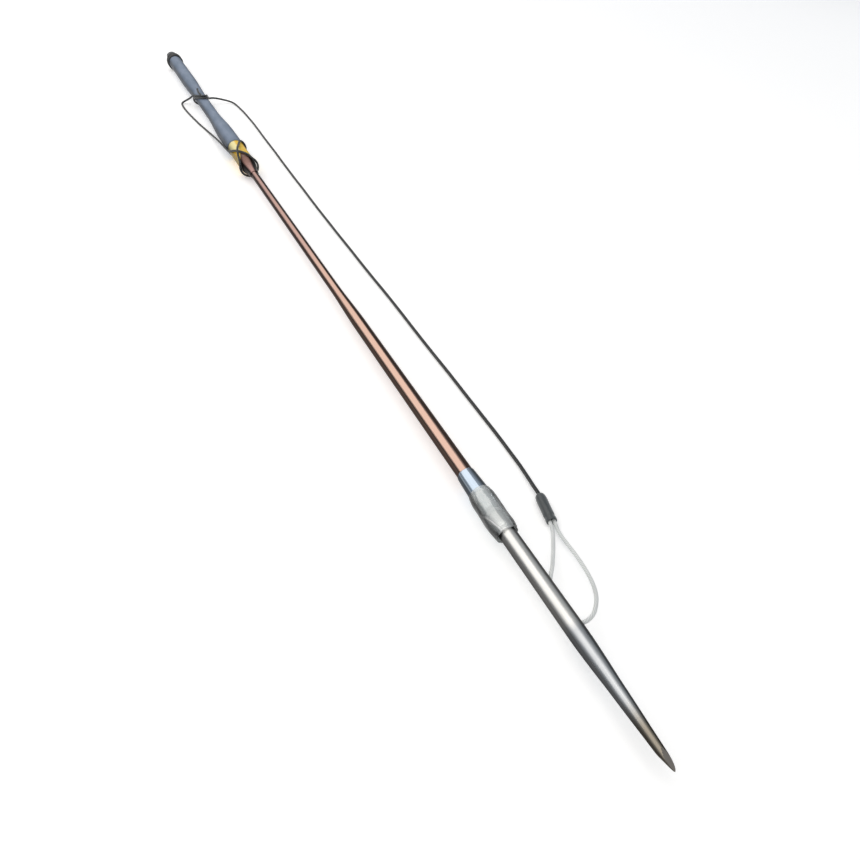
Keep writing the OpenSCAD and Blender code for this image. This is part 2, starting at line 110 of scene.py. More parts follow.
def read_datum() -> Datum:
    """Reads the spear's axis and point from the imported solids.

    Returns:
        The datum that every piece is placed from.
    """
    low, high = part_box("core_tube")
    return Datum(point_x=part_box("slip_tip")[1].x, axis_z=(low.z + high.z) / 2)


DATUM = read_datum()


def ease(share: float) -> float:
    """Smooth step from 0 to 1."""
    return (1 - math.cos(math.pi * min(max(share, 0), 1))) / 2


def mix(first: float, last: float, share: float) -> float:
    """Value at a share of the way from the first to the last."""
    return first + (last - first) * share


def hump(distance: float, width: float) -> float:
    """Bell of height 1 that fades over a width."""
    return math.exp(-(distance / width) ** 2)


def round_axis(along: float, width: float, angle: float) -> Vector:
    """Place in a noise that closes on itself round the spear's axis."""
    turn = math.radians(angle)
    return Vector((along, width * math.cos(turn), width * math.sin(turn)))


# Modelling helpers


def select_only(piece: Optional[Object] = None) -> None:
    """Selects one piece and makes it active.

    Args:
        piece: The piece, or None to clear the selection for a new one.
    """
    for item in bpy.context.selected_objects:
        item.select_set(False)
    if piece:
        bpy.context.view_layer.objects.active = piece
        piece.select_set(True)


def name_new(name: str) -> Object:
    """Names the primitive just added, and its mesh, and moves its place into the mesh.

    Args:
        name: Name of the piece.

    Returns:
        The piece.
    """
    piece = bpy.context.object
    piece.name = name
    piece.data.name = name
    bpy.ops.object.transform_apply(location=True, rotation=True, scale=True)
    return piece


def link_new(name: str, data: bpy.types.ID) -> Object:
    """Puts an object with its data into the scene.

    Args:
        name: Name of the object.
        data: Its mesh, light or camera.

    Returns:
        The object.
    """
    item = bpy.data.objects.new(name, data)
    bpy.context.scene.collection.objects.link(item)
    return item


def evenly(start: float, end: float, count: int, radius: Callable[[float], float],
           first: int = 1) -> list[tuple[float, float]]:
    """Spaces points of an outline evenly.

    Args:
        start: Station of the stretch's front.
        end: Station of its rear.
        count: Steps that it is split into.
        radius: Gives the radius at a share of the way.
        first: First point that is kept.

    Returns:
        The points, the rear one included.
    """
    return [(mix(start, end, k / count), radius(k / count)) for k in range(first, count + 1)]


def eased_outline(points: Outline, step: float) -> list[tuple[float, float]]:
    """Draws a smooth outline through a few measured points.

    Args:
        points: Points of station and radius, in millimetres.
        step: Longest distance between two points of the result.

    Returns:
        The denser outline, which passes through each point.
    """
    padded = [points[0], *points, points[-1]]
    result = [points[0]]
    for before, start, end, after in zip(padded, padded[1:], padded[2:], padded[3:]):
        span = end[0] - start[0]
        slope_in = (end[1] - before[1]) / (end[0] - before[0]) * span
        slope_out = (after[1] - start[1]) / (after[0] - start[0]) * span
        count = math.ceil(span / step)
        for k in range(1, count + 1):
            u = k / count
            radius = ((2 * u**3 - 3 * u**2 + 1) * start[1] + (u**3 - 2 * u**2 + u) * slope_in
                      + (3 * u**2 - 2 * u**3) * end[1] + (u**3 - u**2) * slope_out)
            result.append((start[0] + span * u, radius))
    return result


def turned(name: str, outline: Outline, ends: Ends, sides: int = 96, sharp: float = 35,
           upright: bool = False) -> Object:
    """Turns an outline about the spear's axis.

    Args:
        name: Name of the piece.
        outline: Points of station and radius, in millimetres.
        ends: Whether the piece is solid, a ring or an open skin.
        sides: Faces round the piece.
        sharp: Least angle of a sharp edge, in degrees.
        upright: Whether the outline goes up Z from the origin instead.

    Returns:
        The turned piece.
    """
    stops = [*outline, outline[0]] if ends is Ends.RING else list(outline)
    centres = [Vector((0, 0, s * MM)) if upright else DATUM.at(s) for s, _ in stops]
    select_only()
    bpy.ops.mesh.primitive_circle_add(
        vertices=sides, radius=stops[0][1] * MM, location=centres[0],
        rotation=(0, 0 if upright else math.pi / 2, 0),
        fill_type="NGON" if ends is Ends.SOLID else "NOTHING")
    piece = name_new(name)
    bpy.ops.object.mode_set(mode="EDIT")
    bpy.ops.mesh.select_all(action="SELECT")
    for (station, radius), (next_station, next_radius), centre in zip(stops, stops[1:], centres[1:]):
        step = (station - next_station) * MM
        bpy.ops.mesh.extrude_region_move(
            TRANSFORM_OT_translate={"value": (0, 0, -step) if upright else (step, 0, 0)})
        grow = next_radius / radius
        bpy.ops.transform.resize(value=(grow, grow, 1) if upright else (1, grow, grow),
                                 center_override=centre)
    bpy.ops.mesh.select_all(action="SELECT")
    bpy.ops.mesh.remove_doubles(threshold=0.002 * MM)
    bpy.ops.mesh.normals_make_consistent(inside=False)
    bpy.ops.object.mode_set(mode="OBJECT")
    bpy.ops.object.shade_smooth_by_angle(angle=math.radians(sharp))
    return piece


def move_points(piece: Object, change: Callable[[float, float, float], float]) -> None:
    """Moves each point of a piece to a new radius about the axis.

    Args:
        piece: The piece to shape.
        change: Gives the new radius from station, radius and angle.
    """
    for vertex in piece.data.vertices:
        station, radius, angle = DATUM.polar(vertex.co)
        vertex.co = DATUM.at(station, change(station, radius, angle), angle)
    piece.data.update()


def apply_modifier(piece: Object, kind: str, **settings: object) -> None:
    """Adds one modifier with its settings and applies it.

    Args:
        piece: The piece, which becomes the active one.
        kind: Blender's name of the modifier.
        **settings: Values of its properties.
    """
    select_only(piece)
    modifier = piece.modifiers.new(kind.title(), kind)
    for key, value in settings.items():
        setattr(modifier, key, value)
    bpy.ops.object.modifier_apply(modifier=modifier.name)


def cut(piece: Object, start: Vector, end: Vector, first: float,
        last: Optional[float] = None) -> None:
    """Drills a round or conical hole from one place to another.

    Args:
        piece: The piece to drill.
        start: Centre of the hole's first end, in metres.
        end: Centre of its last end.
        first: Radius at the start, in millimetres.
        last: Radius at the end, if it is another one.
    """
    select_only()
    along = end - start
    bpy.ops.mesh.primitive_cone_add(
        vertices=40, radius1=first * MM, radius2=(last or first) * MM, depth=along.length,
        location=(start + end) / 2, rotation=along.to_track_quat("Z", "Y").to_euler())
    drill = name_new("drill")
    apply_modifier(piece, "BOOLEAN", operation="DIFFERENCE", object=drill, solver="EXACT")
    bpy.data.objects.remove(drill)


def copy_solid(node: str, bevel: float, sharp: float = 40) -> Object:
    """Copies a CAD solid, joins its loose triangles and rounds its edges.

    Args:
        node: The CAD node to copy.
        bevel: Width of the rounding, in millimetres.
        sharp: Least angle that is rounded, in degrees.

    Returns:
        The finer copy.
    """
    piece = link_new(f"{node}_fine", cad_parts[node].data.copy())
    select_only(piece)
    bpy.ops.object.mode_set(mode="EDIT")
    bpy.ops.mesh.select_all(action="SELECT")
    bpy.ops.mesh.customdata_custom_splitnormals_clear()
    bpy.ops.mesh.remove_doubles(threshold=0.005 * MM)
    bpy.ops.mesh.dissolve_limited(angle_limit=math.radians(0.5))
    bpy.ops.object.mode_set(mode="OBJECT")
    apply_modifier(piece, "BEVEL", width=bevel * MM, segments=2, limit_method="ANGLE",
                   angle_limit=math.radians(sharp), use_clamp_overlap=True)
    bpy.ops.object.shade_smooth_by_angle(angle=math.radians(sharp))
    return piece


# Materials

# An eased range instead of a straight one.
SMOOTH = {"interpolation_type": "SMOOTHSTEP"}


def linear(code: str) -> tuple[float, float, float, float]:
    """Turns an sRGB hex value into a linear colour.

    Args:
        code: Six hex digits.

    Returns:
        Red, green and blue, all linear, and an alpha of 1.
    """
    values = (int(code[k:k + 2], 16) / 255 for k in (0, 2, 4))
    red, green, blue = (v / 12.92 if v <= 0.04045 else ((v + 0.055) / 1.055) ** 2.4 for v in values)
    return red, green, blue, 1.0


@dataclass
class Graph:
    """The nodes of one material while they are set up.

    Args:
        name: Name of the material.
        noises: Its noises, by name.
        shader: What the shader's inputs get, which a pattern may change.
    """

    name: str
    noises: dict[str, Node] = field(default_factory=dict)
    shader: dict[str, object] = field(default_factory=dict)

    @cached_property
    def material(self) -> Material:
        """The material, made when it is first asked for."""
        material = bpy.data.materials.new(self.name)
        material.use_nodes = True
        material.node_tree.nodes.clear()
        return material

    @cached_property
    def place(self) -> NodeSocket:
        """Socket of the Object coordinates."""
        return self.add("TexCoord").outputs["Object"]

    def add(self, kind: str, inputs: Union[dict, Sequence] = (), **settings: object) -> Node:
        """Adds a node with its settings, values and links.

        A range of the kind MapRange is given as value, start, end, result at the start and
        result at the end, and it runs from 0 to 1 where the last two are left out.

        Args:
            kind: Blender's name of the node, without its ShaderNode.
            inputs: What its sockets get, in order or by name or number: a value, a socket,
                or a node, which stands for its first output.
            **settings: Values of the node's properties.

        Returns:
            The new node.
        """
        tree = self.material.node_tree
        node = tree.nodes.new(f"ShaderNode{kind}")
        for key, value in settings.items():
            setattr(node, key, value)
        for key, value in inputs.items() if isinstance(inputs, dict) else enumerate(inputs):
            source = value.outputs[0] if isinstance(value, Node) else value
            if isinstance(source, NodeSocket):
                tree.links.new(source, node.inputs[key])
            else:
                node.inputs[key].default_value = source
        return node

    def station(self) -> Node:
        """Station of a place on the surface, in millimetres."""
        along = self.add("SeparateXYZ", [self.place])
        return self.add("Math", [along, -1 / MM, DATUM.point_x / MM], operation="MULTIPLY_ADD")

    def angle(self) -> Node:
        """Angle of a place on the surface about the spear's axis, in radians."""
        parts = self.add("SeparateXYZ", [self.place]).outputs
        up = self.add("Math", [parts[2], DATUM.axis_z], operation="SUBTRACT")
        return self.add("Math", [up, parts[1]], operation="ARCTAN2")

    def rise(self, crest: float) -> Node:
        """Cosine of the angle about the axis between a place and the crest, in degrees."""
        off = self.add("Math", [self.angle(), math.radians(crest)], operation="SUBTRACT")
        return self.add("Math", [off], operation="COSINE")

    def finish(self) -> Material:
        """Adds the shader, with what its inputs get, and the output."""
        shader = self.add("BsdfPrincipled", self.shader)
        self.add("OutputMaterial", [shader])
        return self.material


# Sizes of a noise along X, Y and Z in millimetres, 0 to leave one out, and its octaves.
Grain = tuple[float, float, float, float]
# The share of a colour and the colour, which is a hex value or a socket.
Layer = tuple[Node, Union[str, NodeSocket]]


@dataclass(frozen=True)
class Finish:
    """A finish: colours laid over each other by its pattern, and the shader's even values.

    Each kind of finish names its noises and their real sizes. The noise called relief raises
    the surface, and the one called wear varies its roughness.

    Args:
        name: Name of the material.
        colour: Main colour, as an sRGB hex value.
        second: Colour that the pattern lays over it first.
        metallic: 1 on bare metal.
        roughness: Mean roughness.
        spread: How far wear moves the roughness either way, 0 if it doesn't.
        depth: Depth of the relief, in millimetres.
        coat: Weight of a clear coat.
        rim: Tint at a glancing angle, as a share, lower where dark edges are wanted.
        ior: Index of refraction of what isn't metal.
        sheen: Weight of the soft sheen of fibres.
        clear: Share of light let through, 0 if solid.
        flank: Share of the colour that is left on the flanks by the painted shade.
        flank_low: Cosine of the angle from the crest at which a flank is full.
        flank_high: Cosine of the angle at which it starts.
        crest: Angle about the axis of the brightest line, in degrees.
    """

    name: str
    colour: str
    second: str
    metallic: float = 0.0
    roughness: float = 0.5
    spread: float = 0.0
    depth: float = 0.0
    coat: float = 0.0
    rim: float = 1.0
    ior: float = 1.5
    sheen: float = 0.0
    clear: float = 0.0
    flank: float = 1.0
    flank_low: float = 0.7
    flank_high: float = 0.97
    crest: float = 108.0

    COAT_ROUGHNESS = 0.12

    @cache
    def build(self) -> Material:
        """Makes the noises, the pattern and the shader.

        Returns:
            The material, the same one each time that it is asked for.
        """
        graph = Graph(self.name)
        for name, (*size, detail) in self.grains().items():
            scale = [1 / (MM * s) if s else 0 for s in size]
            spot = graph.add("Mapping", {"Vector": graph.place, "Scale": scale})
            graph.noises[name] = graph.add("TexNoise", {"Vector": spot, "Scale": 1, "Detail": detail})
        graph.shader = {
            "Metallic": self.metallic, "Roughness": self.roughness, "IOR": self.ior,
            "Specular Tint": (self.rim, self.rim, self.rim, 1), "Coat Weight": self.coat,
            "Coat Roughness": self.COAT_ROUGHNESS, "Sheen Weight": self.sheen,
            "Alpha": 1 - self.clear, "Normal": graph.add("Bump", {
                "Strength": 1, "Distance": self.depth * MM, "Height": graph.noises["relief"]})}
        if self.spread:
            graph.shader["Roughness"] = graph.add("MapRange", [
                graph.noises["wear"], 0.25, 0.75, self.roughness - self.spread,
                self.roughness + self.spread])
        colour = linear(self.colour)
        for share, over in self.layers(graph):
            over = linear(over) if isinstance(over, str) else over
            mixed = graph.add("Mix", {0: share, 6: colour, 7: over}, data_type="RGBA")
            colour = mixed.outputs[2]
        # Painted shade on the flanks, where flank is below 1.
        graph.shader["Base Color"] = self.painted_flank_shade(graph, colour) if self.flank < 1 else colour
        return graph.finish()

    def grains(self) -> dict[str, Grain]:
        """The finish's noises, by name."""
        raise NotImplementedError

    def layers(self, graph: Graph) -> Iterator[Layer]:
        """Draws the pattern: the colours that go over the main one, in turn."""
        raise NotImplementedError

    def painted_flank_shade(self, graph: Graph, colour: NodeSocket) -> Node:
        """Paints shade on the flanks: darkens the colour between the crest and the underside, which
        keep it full.

        Args:
            graph: The material's nodes.
            colour: The pattern's colour.

        Returns:
            The node of the darkened colour.
        """
        rise = graph.rise(self.crest)
        top = graph.add("MapRange", [rise, self.flank_low, self.flank_high, self.flank, 1], **SMOOTH)
        under = graph.add("MapRange", [rise, -0.6, -0.05, 1, self.flank], **SMOOTH)
        left = graph.add("Math", [top, under], operation="MAXIMUM")
        return graph.add("VectorMath", {"Vector": colour, "Scale": left}, operation="SCALE")

    def worn(self, graph: Graph, marks: float, low: float, high: float) -> Node:
        """Share of the second colour, from the noise called wear with finer marks in it.

        Args:
            graph: The material's nodes.
            marks: Weight of the marks, with wear as the rest.
            low: Sum at which the share starts.
            high: Sum at which it is full.

        Returns:
            The node of the share.
        """
        fine = graph.add("Math", [graph.noises["marks"], marks], operation="MULTIPLY")
        both = graph.add("Math", [graph.noises["wear"], 1 - marks, fine], operation="MULTIPLY_ADD")
        return graph.add("MapRange", [both, low, high])


@dataclass(frozen=True)
class TurnedMetal(Finish):
    """Bar turned on a lathe, with fine rings round it, worn in patches and long streaks.

    Args:
        ring: Width of a ring, in millimetres. A real tool mark is about 0.1 mm wide, which is
            too fine to show, so it is drawn coarser.
        cone_from: Station where the ground cone starts, 0 if there is none.
        cone: Colour of the cone.
        stain_from: Station where the stain of grinding heat starts.
        stain_to: Station where it is full.
        stain: Colour of the stain.
    """

    spread: float = 0.06
    depth: float = 0.004
    ring: float = 0.5
    cone_from: float = 0.0
    cone: str = ""
    stain_from: float = 0.0
    stain_to: float = 0.0
    stain: str = ""

    def grains(self) -> dict[str, Grain]:
        """Rings across the bar, worn patches, and streaks along it."""
        return {"relief": (self.ring, 0, 0, 3), "wear": (16, 6, 6, 3), "marks": (30, 0.9, 0.9, 3)}

    def layers(self, graph: Graph) -> Iterator[Layer]:
        """Wear, then the cone, whose edge is 5 mm soft, and the stain."""
        yield self.worn(graph, 0.4, 0.36, 0.66), self.second
        if self.cone_from:
            station = graph.station()
            cone = graph.add("MapRange", [station, self.cone_from + 2, self.cone_from - 3])
            yield cone, self.cone
            stained = graph.add("MapRange", [station, self.stain_from, self.stain_to], **SMOOTH)
            yield stained, self.stain


@dataclass(frozen=True)
class AnodisedTube(Finish):
    """Drawn tube with a dyed oxide skin, glossy over fine drawing lines.

    The lines are about 0.1 mm wide on a real tube, too fine to show, so they are drawn coarser.

    Args:
        fade_from: Station where the colour starts to shift to the second one.
        fade_to: Station where it has.
    """

    spread: float = 0.05
    depth: float = 0.003
    fade_from: float = 330.0
    fade_to: float = 640.0

    def grains(self) -> dict[str, Grain]:
        """Drawing lines, rubbed spots, and slow bands of the dye."""
        return {"relief": (60, 0.5, 0.5, 3), "wear": (4, 2, 2, 4), "dye": (75, 0, 0, 1)}

    def layers(self, graph: Graph) -> Iterator[Layer]:
        """A slow shift to the second colour along the tube, darker towards the rear, with bands."""
        fade = graph.add("MapRange", [graph.station(), self.fade_from, self.fade_to])
        bands = graph.add("MapRange", [graph.noises["dye"], 0.38, 0.62, -0.12, 0.12])
        both = graph.add("Math", [fade, bands], operation="ADD")
        yield graph.add("MapRange", [both], **SMOOTH), self.second


@dataclass(frozen=True)
class MouldedRubber(Finish):
    """Moulded or shrunk rubber with a fine uneven skin, handled patches and long scuffs.

    Args:
        skin: Size of the skin's grain, in millimetres. A real one is about 0.2 mm, which is
            too fine to show, so it is drawn coarser.
    """

    spread: float = 0.07
    depth: float = 0.02
    skin: float = 0.8

    def grains(self) -> dict[str, Grain]:
        """The skin's grain, handled patches and scuffs."""
        return {"relief": (self.skin, self.skin, self.skin, 2), "wear": (28, 9, 9, 3),
                "marks": (14, 1.2, 1.2, 2)}

    def layers(self, graph: Graph) -> Iterator[Layer]:
        """The second colour where the rubber is handled."""
        yield self.worn(graph, 0.3, 0.38, 0.64), self.second


@dataclass(frozen=True)
class Boot(Finish):
    """Dark gloss rubber that fades to the shaft's copper tone at its lip.

    Args:
        lip: Station of the lip.
        dark_at: Station where the copper tone has gone.
        copper: Colour at the lip.
    """

    spread: float = 0.06
    depth: float = 0.015
    lip: float = 672.0
    dark_at: float = 700.0
    copper: str = "bf9a93"

    def grains(self) -> dict[str, Grain]:
        """The skin's grain and soft patches."""
        return {"relief": (1.5, 1.5, 1.5, 2), "wear": (5, 3, 3, 3)}

    def layers(self, graph: Graph) -> Iterator[Layer]:
        """Soft patches, then the copper tone towards the lip."""
        yield graph.noises["wear"], self.second
        lip = graph.add("MapRange", [graph.station(), self.lip, self.dark_at, 1, 0], **SMOOTH)
        yield lip, self.copper


@dataclass(frozen=True)
class Tape(Finish):
    """Gloss vinyl tape, dark in a V ahead of the lashing's cross, with a painted highlight behind it.

    Args:
        dark: Colour of the middle of the V.
        black: Colour of the painted shade on its sides.
        pale: Colour of the painted highlight behind the cross.
        grime: Colour of small specks of dirt.
        cross_station: Station where the lashing crosses itself on top.
        cross_angle: Angle of that place about the axis, in degrees.
        v_slope: Millimetres that the V's edge goes forward for each degree.
        v_edge: Millimetres over which that edge sets in.
        v_wobble: Millimetres by which it wobbles.
        v_sides: Degrees beside the cross between which the painted shade on the V sets in.
        v_roughness: Roughness inside the V.
        pale_edge: Stations between which the painted highlight sets in, at an angle of 0.
        pale_slope: Millimetres that this goes back for each degree.
        pale_angles: Angles between which it sets in.
    """

    depth: float = 0.03
    dark: str = "7c5c50"
    black: str = "14100c"
    pale: str = "fff2b0"
    grime: str = "6b5316"
    cross_station: float = 722.0
    cross_angle: float = 105.0
    v_slope: float = 0.55
    v_edge: tuple[float, float] = (-0.6, 2.0)
    v_wobble: float = 1.5
    v_sides: tuple[float, float] = (8.0, 32.0)
    v_roughness: float = 0.22
    pale_edge: tuple[float, float] = (693.0, 699.0)
    pale_slope: float = 0.3
    pale_angles: tuple[float, float] = (92.0, 106.0)

    def grains(self) -> dict[str, Grain]:
        """Soft dents, specks of dirt, and the wobble of the V's edge."""
        return {"relief": (7, 5, 5, 3), "specks": (1.2, 1.2, 1.2, 3), "wobble": (2, 2, 2, 2)}

    def layers(self, graph: Graph) -> Iterator[Layer]:
        """Soft patches, the painted highlight and the specks, then the V, which is also glossier."""
        station = graph.station()
        angle = graph.add("Math", [graph.angle(), 180 / math.pi], operation="MULTIPLY")
        yield graph.add("MapRange", [graph.noises["relief"], 0.42, 0.7]), self.second

        # Painted highlight: a pale place behind the lashing's cross.
        back = graph.add("Math", [angle, -self.pale_slope, station], operation="MULTIPLY_ADD")
        back = graph.add("MapRange", [back, *self.pale_edge], **SMOOTH)
        side = graph.add("MapRange", [angle, *self.pale_angles], **SMOOTH)
        yield graph.add("Math", [side, back], operation="MULTIPLY"), self.pale
        yield graph.add("MapRange", [graph.noises["specks"], 0.62, 0.8, 0, 0.5]), self.grime

        off = graph.add("Math", [angle, self.cross_angle], operation="SUBTRACT")
        off = graph.add("Math", [off], operation="ABSOLUTE")
        edge = graph.add("Math", [off, -self.v_slope, self.cross_station], operation="MULTIPLY_ADD")
        ahead = graph.add("Math", [edge, station], operation="SUBTRACT")
        ahead = graph.add("Math", [graph.noises["wobble"], self.v_wobble, ahead],
                          operation="MULTIPLY_ADD")
        inside = graph.add("MapRange", [ahead, *self.v_edge], **SMOOTH)
        graph.shader["Roughness"] = graph.add("MapRange", [
            inside, 0, 1, self.roughness, self.v_roughness])
        # Painted shade: the V turns black towards its sides, away from the cross.
        sides = graph.add("MapRange", [off, *self.v_sides], **SMOOTH)
        yield inside, graph.add("Mix", {0: sides, 6: linear(self.dark), 7: linear(self.black)},
                                data_type="RGBA").outputs[2]


@dataclass(frozen=True)
class Film(Finish):
    """Wound clear film, milky where it is folded, over lines pulled along it.

    Args:
        folded: Name of the mesh attribute that is 1 on a fold.
        flank_alpha: Least opacity on the flanks, where the film is seen edge on.
    """

    depth: float = 0.06
    folded: str = "fold"
    flank_alpha: float = 0.8

    def grains(self) -> dict[str, Grain]:
        """Pulled lines and milky haze."""
        return {"relief": (12, 2.2, 2.2, 1), "haze": (7, 2, 2, 2)}

    def layers(self, graph: Graph) -> Iterator[Layer]:
        """Folds and haze, which are whiter and less clear, and denser flanks that carry painted
        shade.
        """
        fold = graph.add("Attribute", attribute_name=self.folded).outputs["Fac"]
        haze = graph.add("MapRange", [graph.noises["haze"], 0.45, 0.7, 0, 0.5])
        milky = graph.add("Math", [fold, haze], operation="MAXIMUM")
        cloudy = graph.add("MapRange", [milky, 0, 1, 0, 0.95])
        # The flanks are less clear, so that the painted shade on them shows.
        dense = graph.add("MapRange", [graph.rise(self.crest), 0.35, 0.85, self.flank_alpha,
                                       1 - self.clear], **SMOOTH)
        graph.shader["Alpha"] = graph.add("Math", [dense, cloudy], operation="MAXIMUM")
        yield milky, self.second


@dataclass(frozen=True)
class Strands(Finish):
    """Cord or cable whose strands are shaped in its mesh, with fine fibres in the material.

    A real fibre is about 0.02 mm thick, too fine to show, so the fibres are drawn coarser.

    Args:
        crown: Name of the mesh attribute that is 1 on top of a strand.
        low: Value of the attribute where the second colour starts.
        high: Value where it is full.
    """

    depth: float = 0.03
    crown: str = "crown"
    low: float = 0.45
    high: float = 0.95

    def grains(self) -> dict[str, Grain]:
        """Fibres, and patches where the crowns are lighter."""
        return {"relief": (0.35, 0.35, 0.35, 2), "patches": (9, 9, 9, 2)}

    def layers(self, graph: Graph) -> Iterator[Layer]:
        """The second colour on the crowns of the strands, which on the braided line is a painted
        highlight.
        """
        crown = graph.add("Attribute", attribute_name=self.crown).outputs["Fac"]
        crown = graph.add("MapRange", [crown, self.low, self.high])
        patches = graph.add("MapRange", [graph.noises["patches"], 0.3, 0.7, 0.55, 1])
        yield graph.add("Math", [crown, patches], operation="MULTIPLY"), self.second


# Stainless bar, turned to a satin: a soft bright band along its top between near black sides, which
# are painted shade, a duller ground cone in front, and a brown stain of grinding heat towards the
# point.
TIP_STEEL = TurnedMetal("turned_stainless_satin", "f2f1ee", "e4e3e0", metallic=1, roughness=0.3,
                        rim=0.4, flank=0.14, cone_from=70, cone="c4c7ca", stain_from=34,
                        stain_to=16, stain="989083")
# The same steel, ground on a stone: flat grey facets, rougher than the bar.
POINT_GROUND = TurnedMetal("ground_point_steel", "928d87", "827d78", metallic=1, roughness=0.42,
                           rim=0.5, ring=0.3)
# Chrome plate, polished: a cold bluish mirror with hard dark edges, which are painted shade.
FERRULE = TurnedMetal("polished_ferrule_chrome", "d2e0f0", "c6d4e4", metallic=1, roughness=0.12,
                      depth=0.001, rim=0.6, flank=0.1, crest=112, ring=0.8)
# Stainless, turned fine: bright metal that shows through the film and when the tip is off, with
# painted shade on its flanks.
ADAPTER = TurnedMetal("turned_adapter_steel", "e2e6e8", "d0d4d6", metallic=1, roughness=0.22,
                      rim=0.6, flank=0.2)
# Aluminium tube, drawn and anodised with a copper dye: a warm, narrow gloss between dark sides that
# are painted shade.
COPPER = AnodisedTube("copper_anodised_aluminium", "dab6a5", "c8a69d", metallic=1, roughness=0.2,
                      coat=0.1, rim=0.4, flank=0.1, flank_low=0.83, flank_high=0.965, crest=112)
# Steel, machined: plain grey metal on the insert, the stud and the pins.
INSERT = TurnedMetal("machined_insert_steel", "9b9b98", "888886", metallic=1, roughness=0.32)
# Aluminium alloy, machined: a paler and warmer grey, a little duller than steel.
ALLOY = TurnedMetal("machined_coupler_alloy", "b5b0a4", "a49f94", metallic=1, roughness=0.38)
# Steel tube, drawn: darker grey with wide soft rings.
CORE = TurnedMetal("drawn_core_steel", "8e9092", "7b7d80", metallic=1, roughness=0.36, ring=2)
# Stainless, machined: clean bright metal at the butt.
BUTT = TurnedMetal("machined_butt_stainless", "b2b5b8", "9c9fa3", metallic=1, roughness=0.28,
                   rim=0.4)
# Soft copper, pressed: a dull reddish ring inside the shrunk sleeve.
CRIMP = TurnedMetal("pressed_copper_crimp", "b98658", "9c6d46", metallic=1, roughness=0.34)
# Rubber, moulded with a metallic gloss: it carries the shaft's copper tone on, with black sides that
# are painted shade.
BOOT = Boot("gloss_boot_rubber", "96736a", "83625a", metallic=0.6, roughness=0.28, rim=0.25,
            ior=1.35, flank=0.05, flank_low=0.78, flank_high=0.985, crest=106)
# Vinyl tape, wound: strong warm yellow with a soft shine and painted shade on its flanks.
BAND = Tape("gloss_yellow_tape", "f8c42c", "ffe05a", roughness=0.42, ior=1.3, flank=0.26,
            flank_low=0.2, flank_high=0.95, crest=88)
# Rubber, moulded satin: blue-grey with a wide soft light along its top and painted shade on its
# flanks.
SLEEVE = MouldedRubber("satin_grip_rubber", "8492a8", "748398", roughness=0.5, ior=1.3, flank=0.26,
                       flank_low=0.45, flank_high=1, crest=97)
# Rubber, moulded: matt black on the butt ring and the seals.
BLACK = MouldedRubber("moulded_black_rubber", "26282a", "1a1b1c", roughness=0.55)
# Silicone, moulded: pale, so that it doesn't darken the film over it.
SILICONE = MouldedRubber("pale_silicone_ring", "eceeee", "dfe2e2", roughness=0.35)
# Polyolefin tube, shrunk on: dark grey with a thin waxy gloss.
SHRINK = MouldedRubber("shrunk_polyolefin_tube", "4a4f51", "3c4143", roughness=0.36, depth=0.03,
                       coat=0.15, skin=0.5)
# Clear film, wound and shrunk: its many folds shine like foil, so it is partly metallic. Its flanks
# carry painted shade and are less clear.
FILM = Film("wound_clear_film", "f0f5f5", "fdfdfd", metallic=0.45, roughness=0.15, ior=1.35,
            clear=0.6, flank=0.08, flank_low=0.55, flank_high=0.97, crest=106)
# Stranded steel in a translucent coat: milky white with faint slanting strands.
CABLE = Strands("coated_stranded_cable", "c6cac9", "f0f2f1", roughness=0.3, coat=0.3, low=0.2,
                high=0.8)
# Braid of polyester yarns: near black, with a painted highlight in light dots on the crowns of its
# strands.
LINE = Strands("braided_black_line", "17191a", "d4d8d7", sheen=0.05, low=0.78, high=1)


def dress(piece: Object, *finishes: Finish) -> None:
    """Gives a piece its finishes.

    Args:
        piece: The piece.
        *finishes: The finishes, in the order of its slots.
    """
    piece.data.materials.clear()
    for finish in finishes:
        piece.data.materials.append(finish.build())


def settle(piece: Object, body: Optional[Body], slot: str, *nodes: str) -> None:
    """Lets a piece ride on its body and stand for its CAD nodes.

    Args:
        piece: The finished piece.
        body: The body that it moves with, None for a piece that rides on neither.
        slot: The record's material slot; not used.
        *nodes: CAD nodes that it replaces.
    """
    if body:
        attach(piece, body.value)
    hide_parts(*nodes)
    LOG.info("%s: %d faces, for %s", piece.name, len(piece.data.polygons), ", ".join(nodes))


# Cords


def length_of(points: Sequence[Vector]) -> float:
    """Length of a line through points, in metres."""
    return sum((b - a).length for a, b in zip(points, points[1:]))


def between(before: Vector, start: Vector, end: Vector, after: Vector, u: float) -> Vector:
    """Point on a centripetal curve between start and end.

    Args:
        before: The stop before the start.
        start: Where the stretch starts.
        end: Where it ends.
        after: The stop after the end.
        u: Share of the way, from 0 to 1.

    Returns:
        The point.
    """
    ta = math.sqrt((start - before).length)
    tb = ta + math.sqrt((end - start).length)
    tc = tb + math.sqrt((after - end).length)
    t = ta + (tb - ta) * u
    a = before + (start - before) * (t / ta)
    b = start + (end - start) * ((t - ta) / (tb - ta))
    c = end + (after - end) * ((t - tb) / (tc - tb))
    d = a + (b - a) * (t / tb)
    e = b + (c - b) * ((t - ta) / (tc - ta))
    return d + (e - d) * ((t - ta) / (tb - ta))


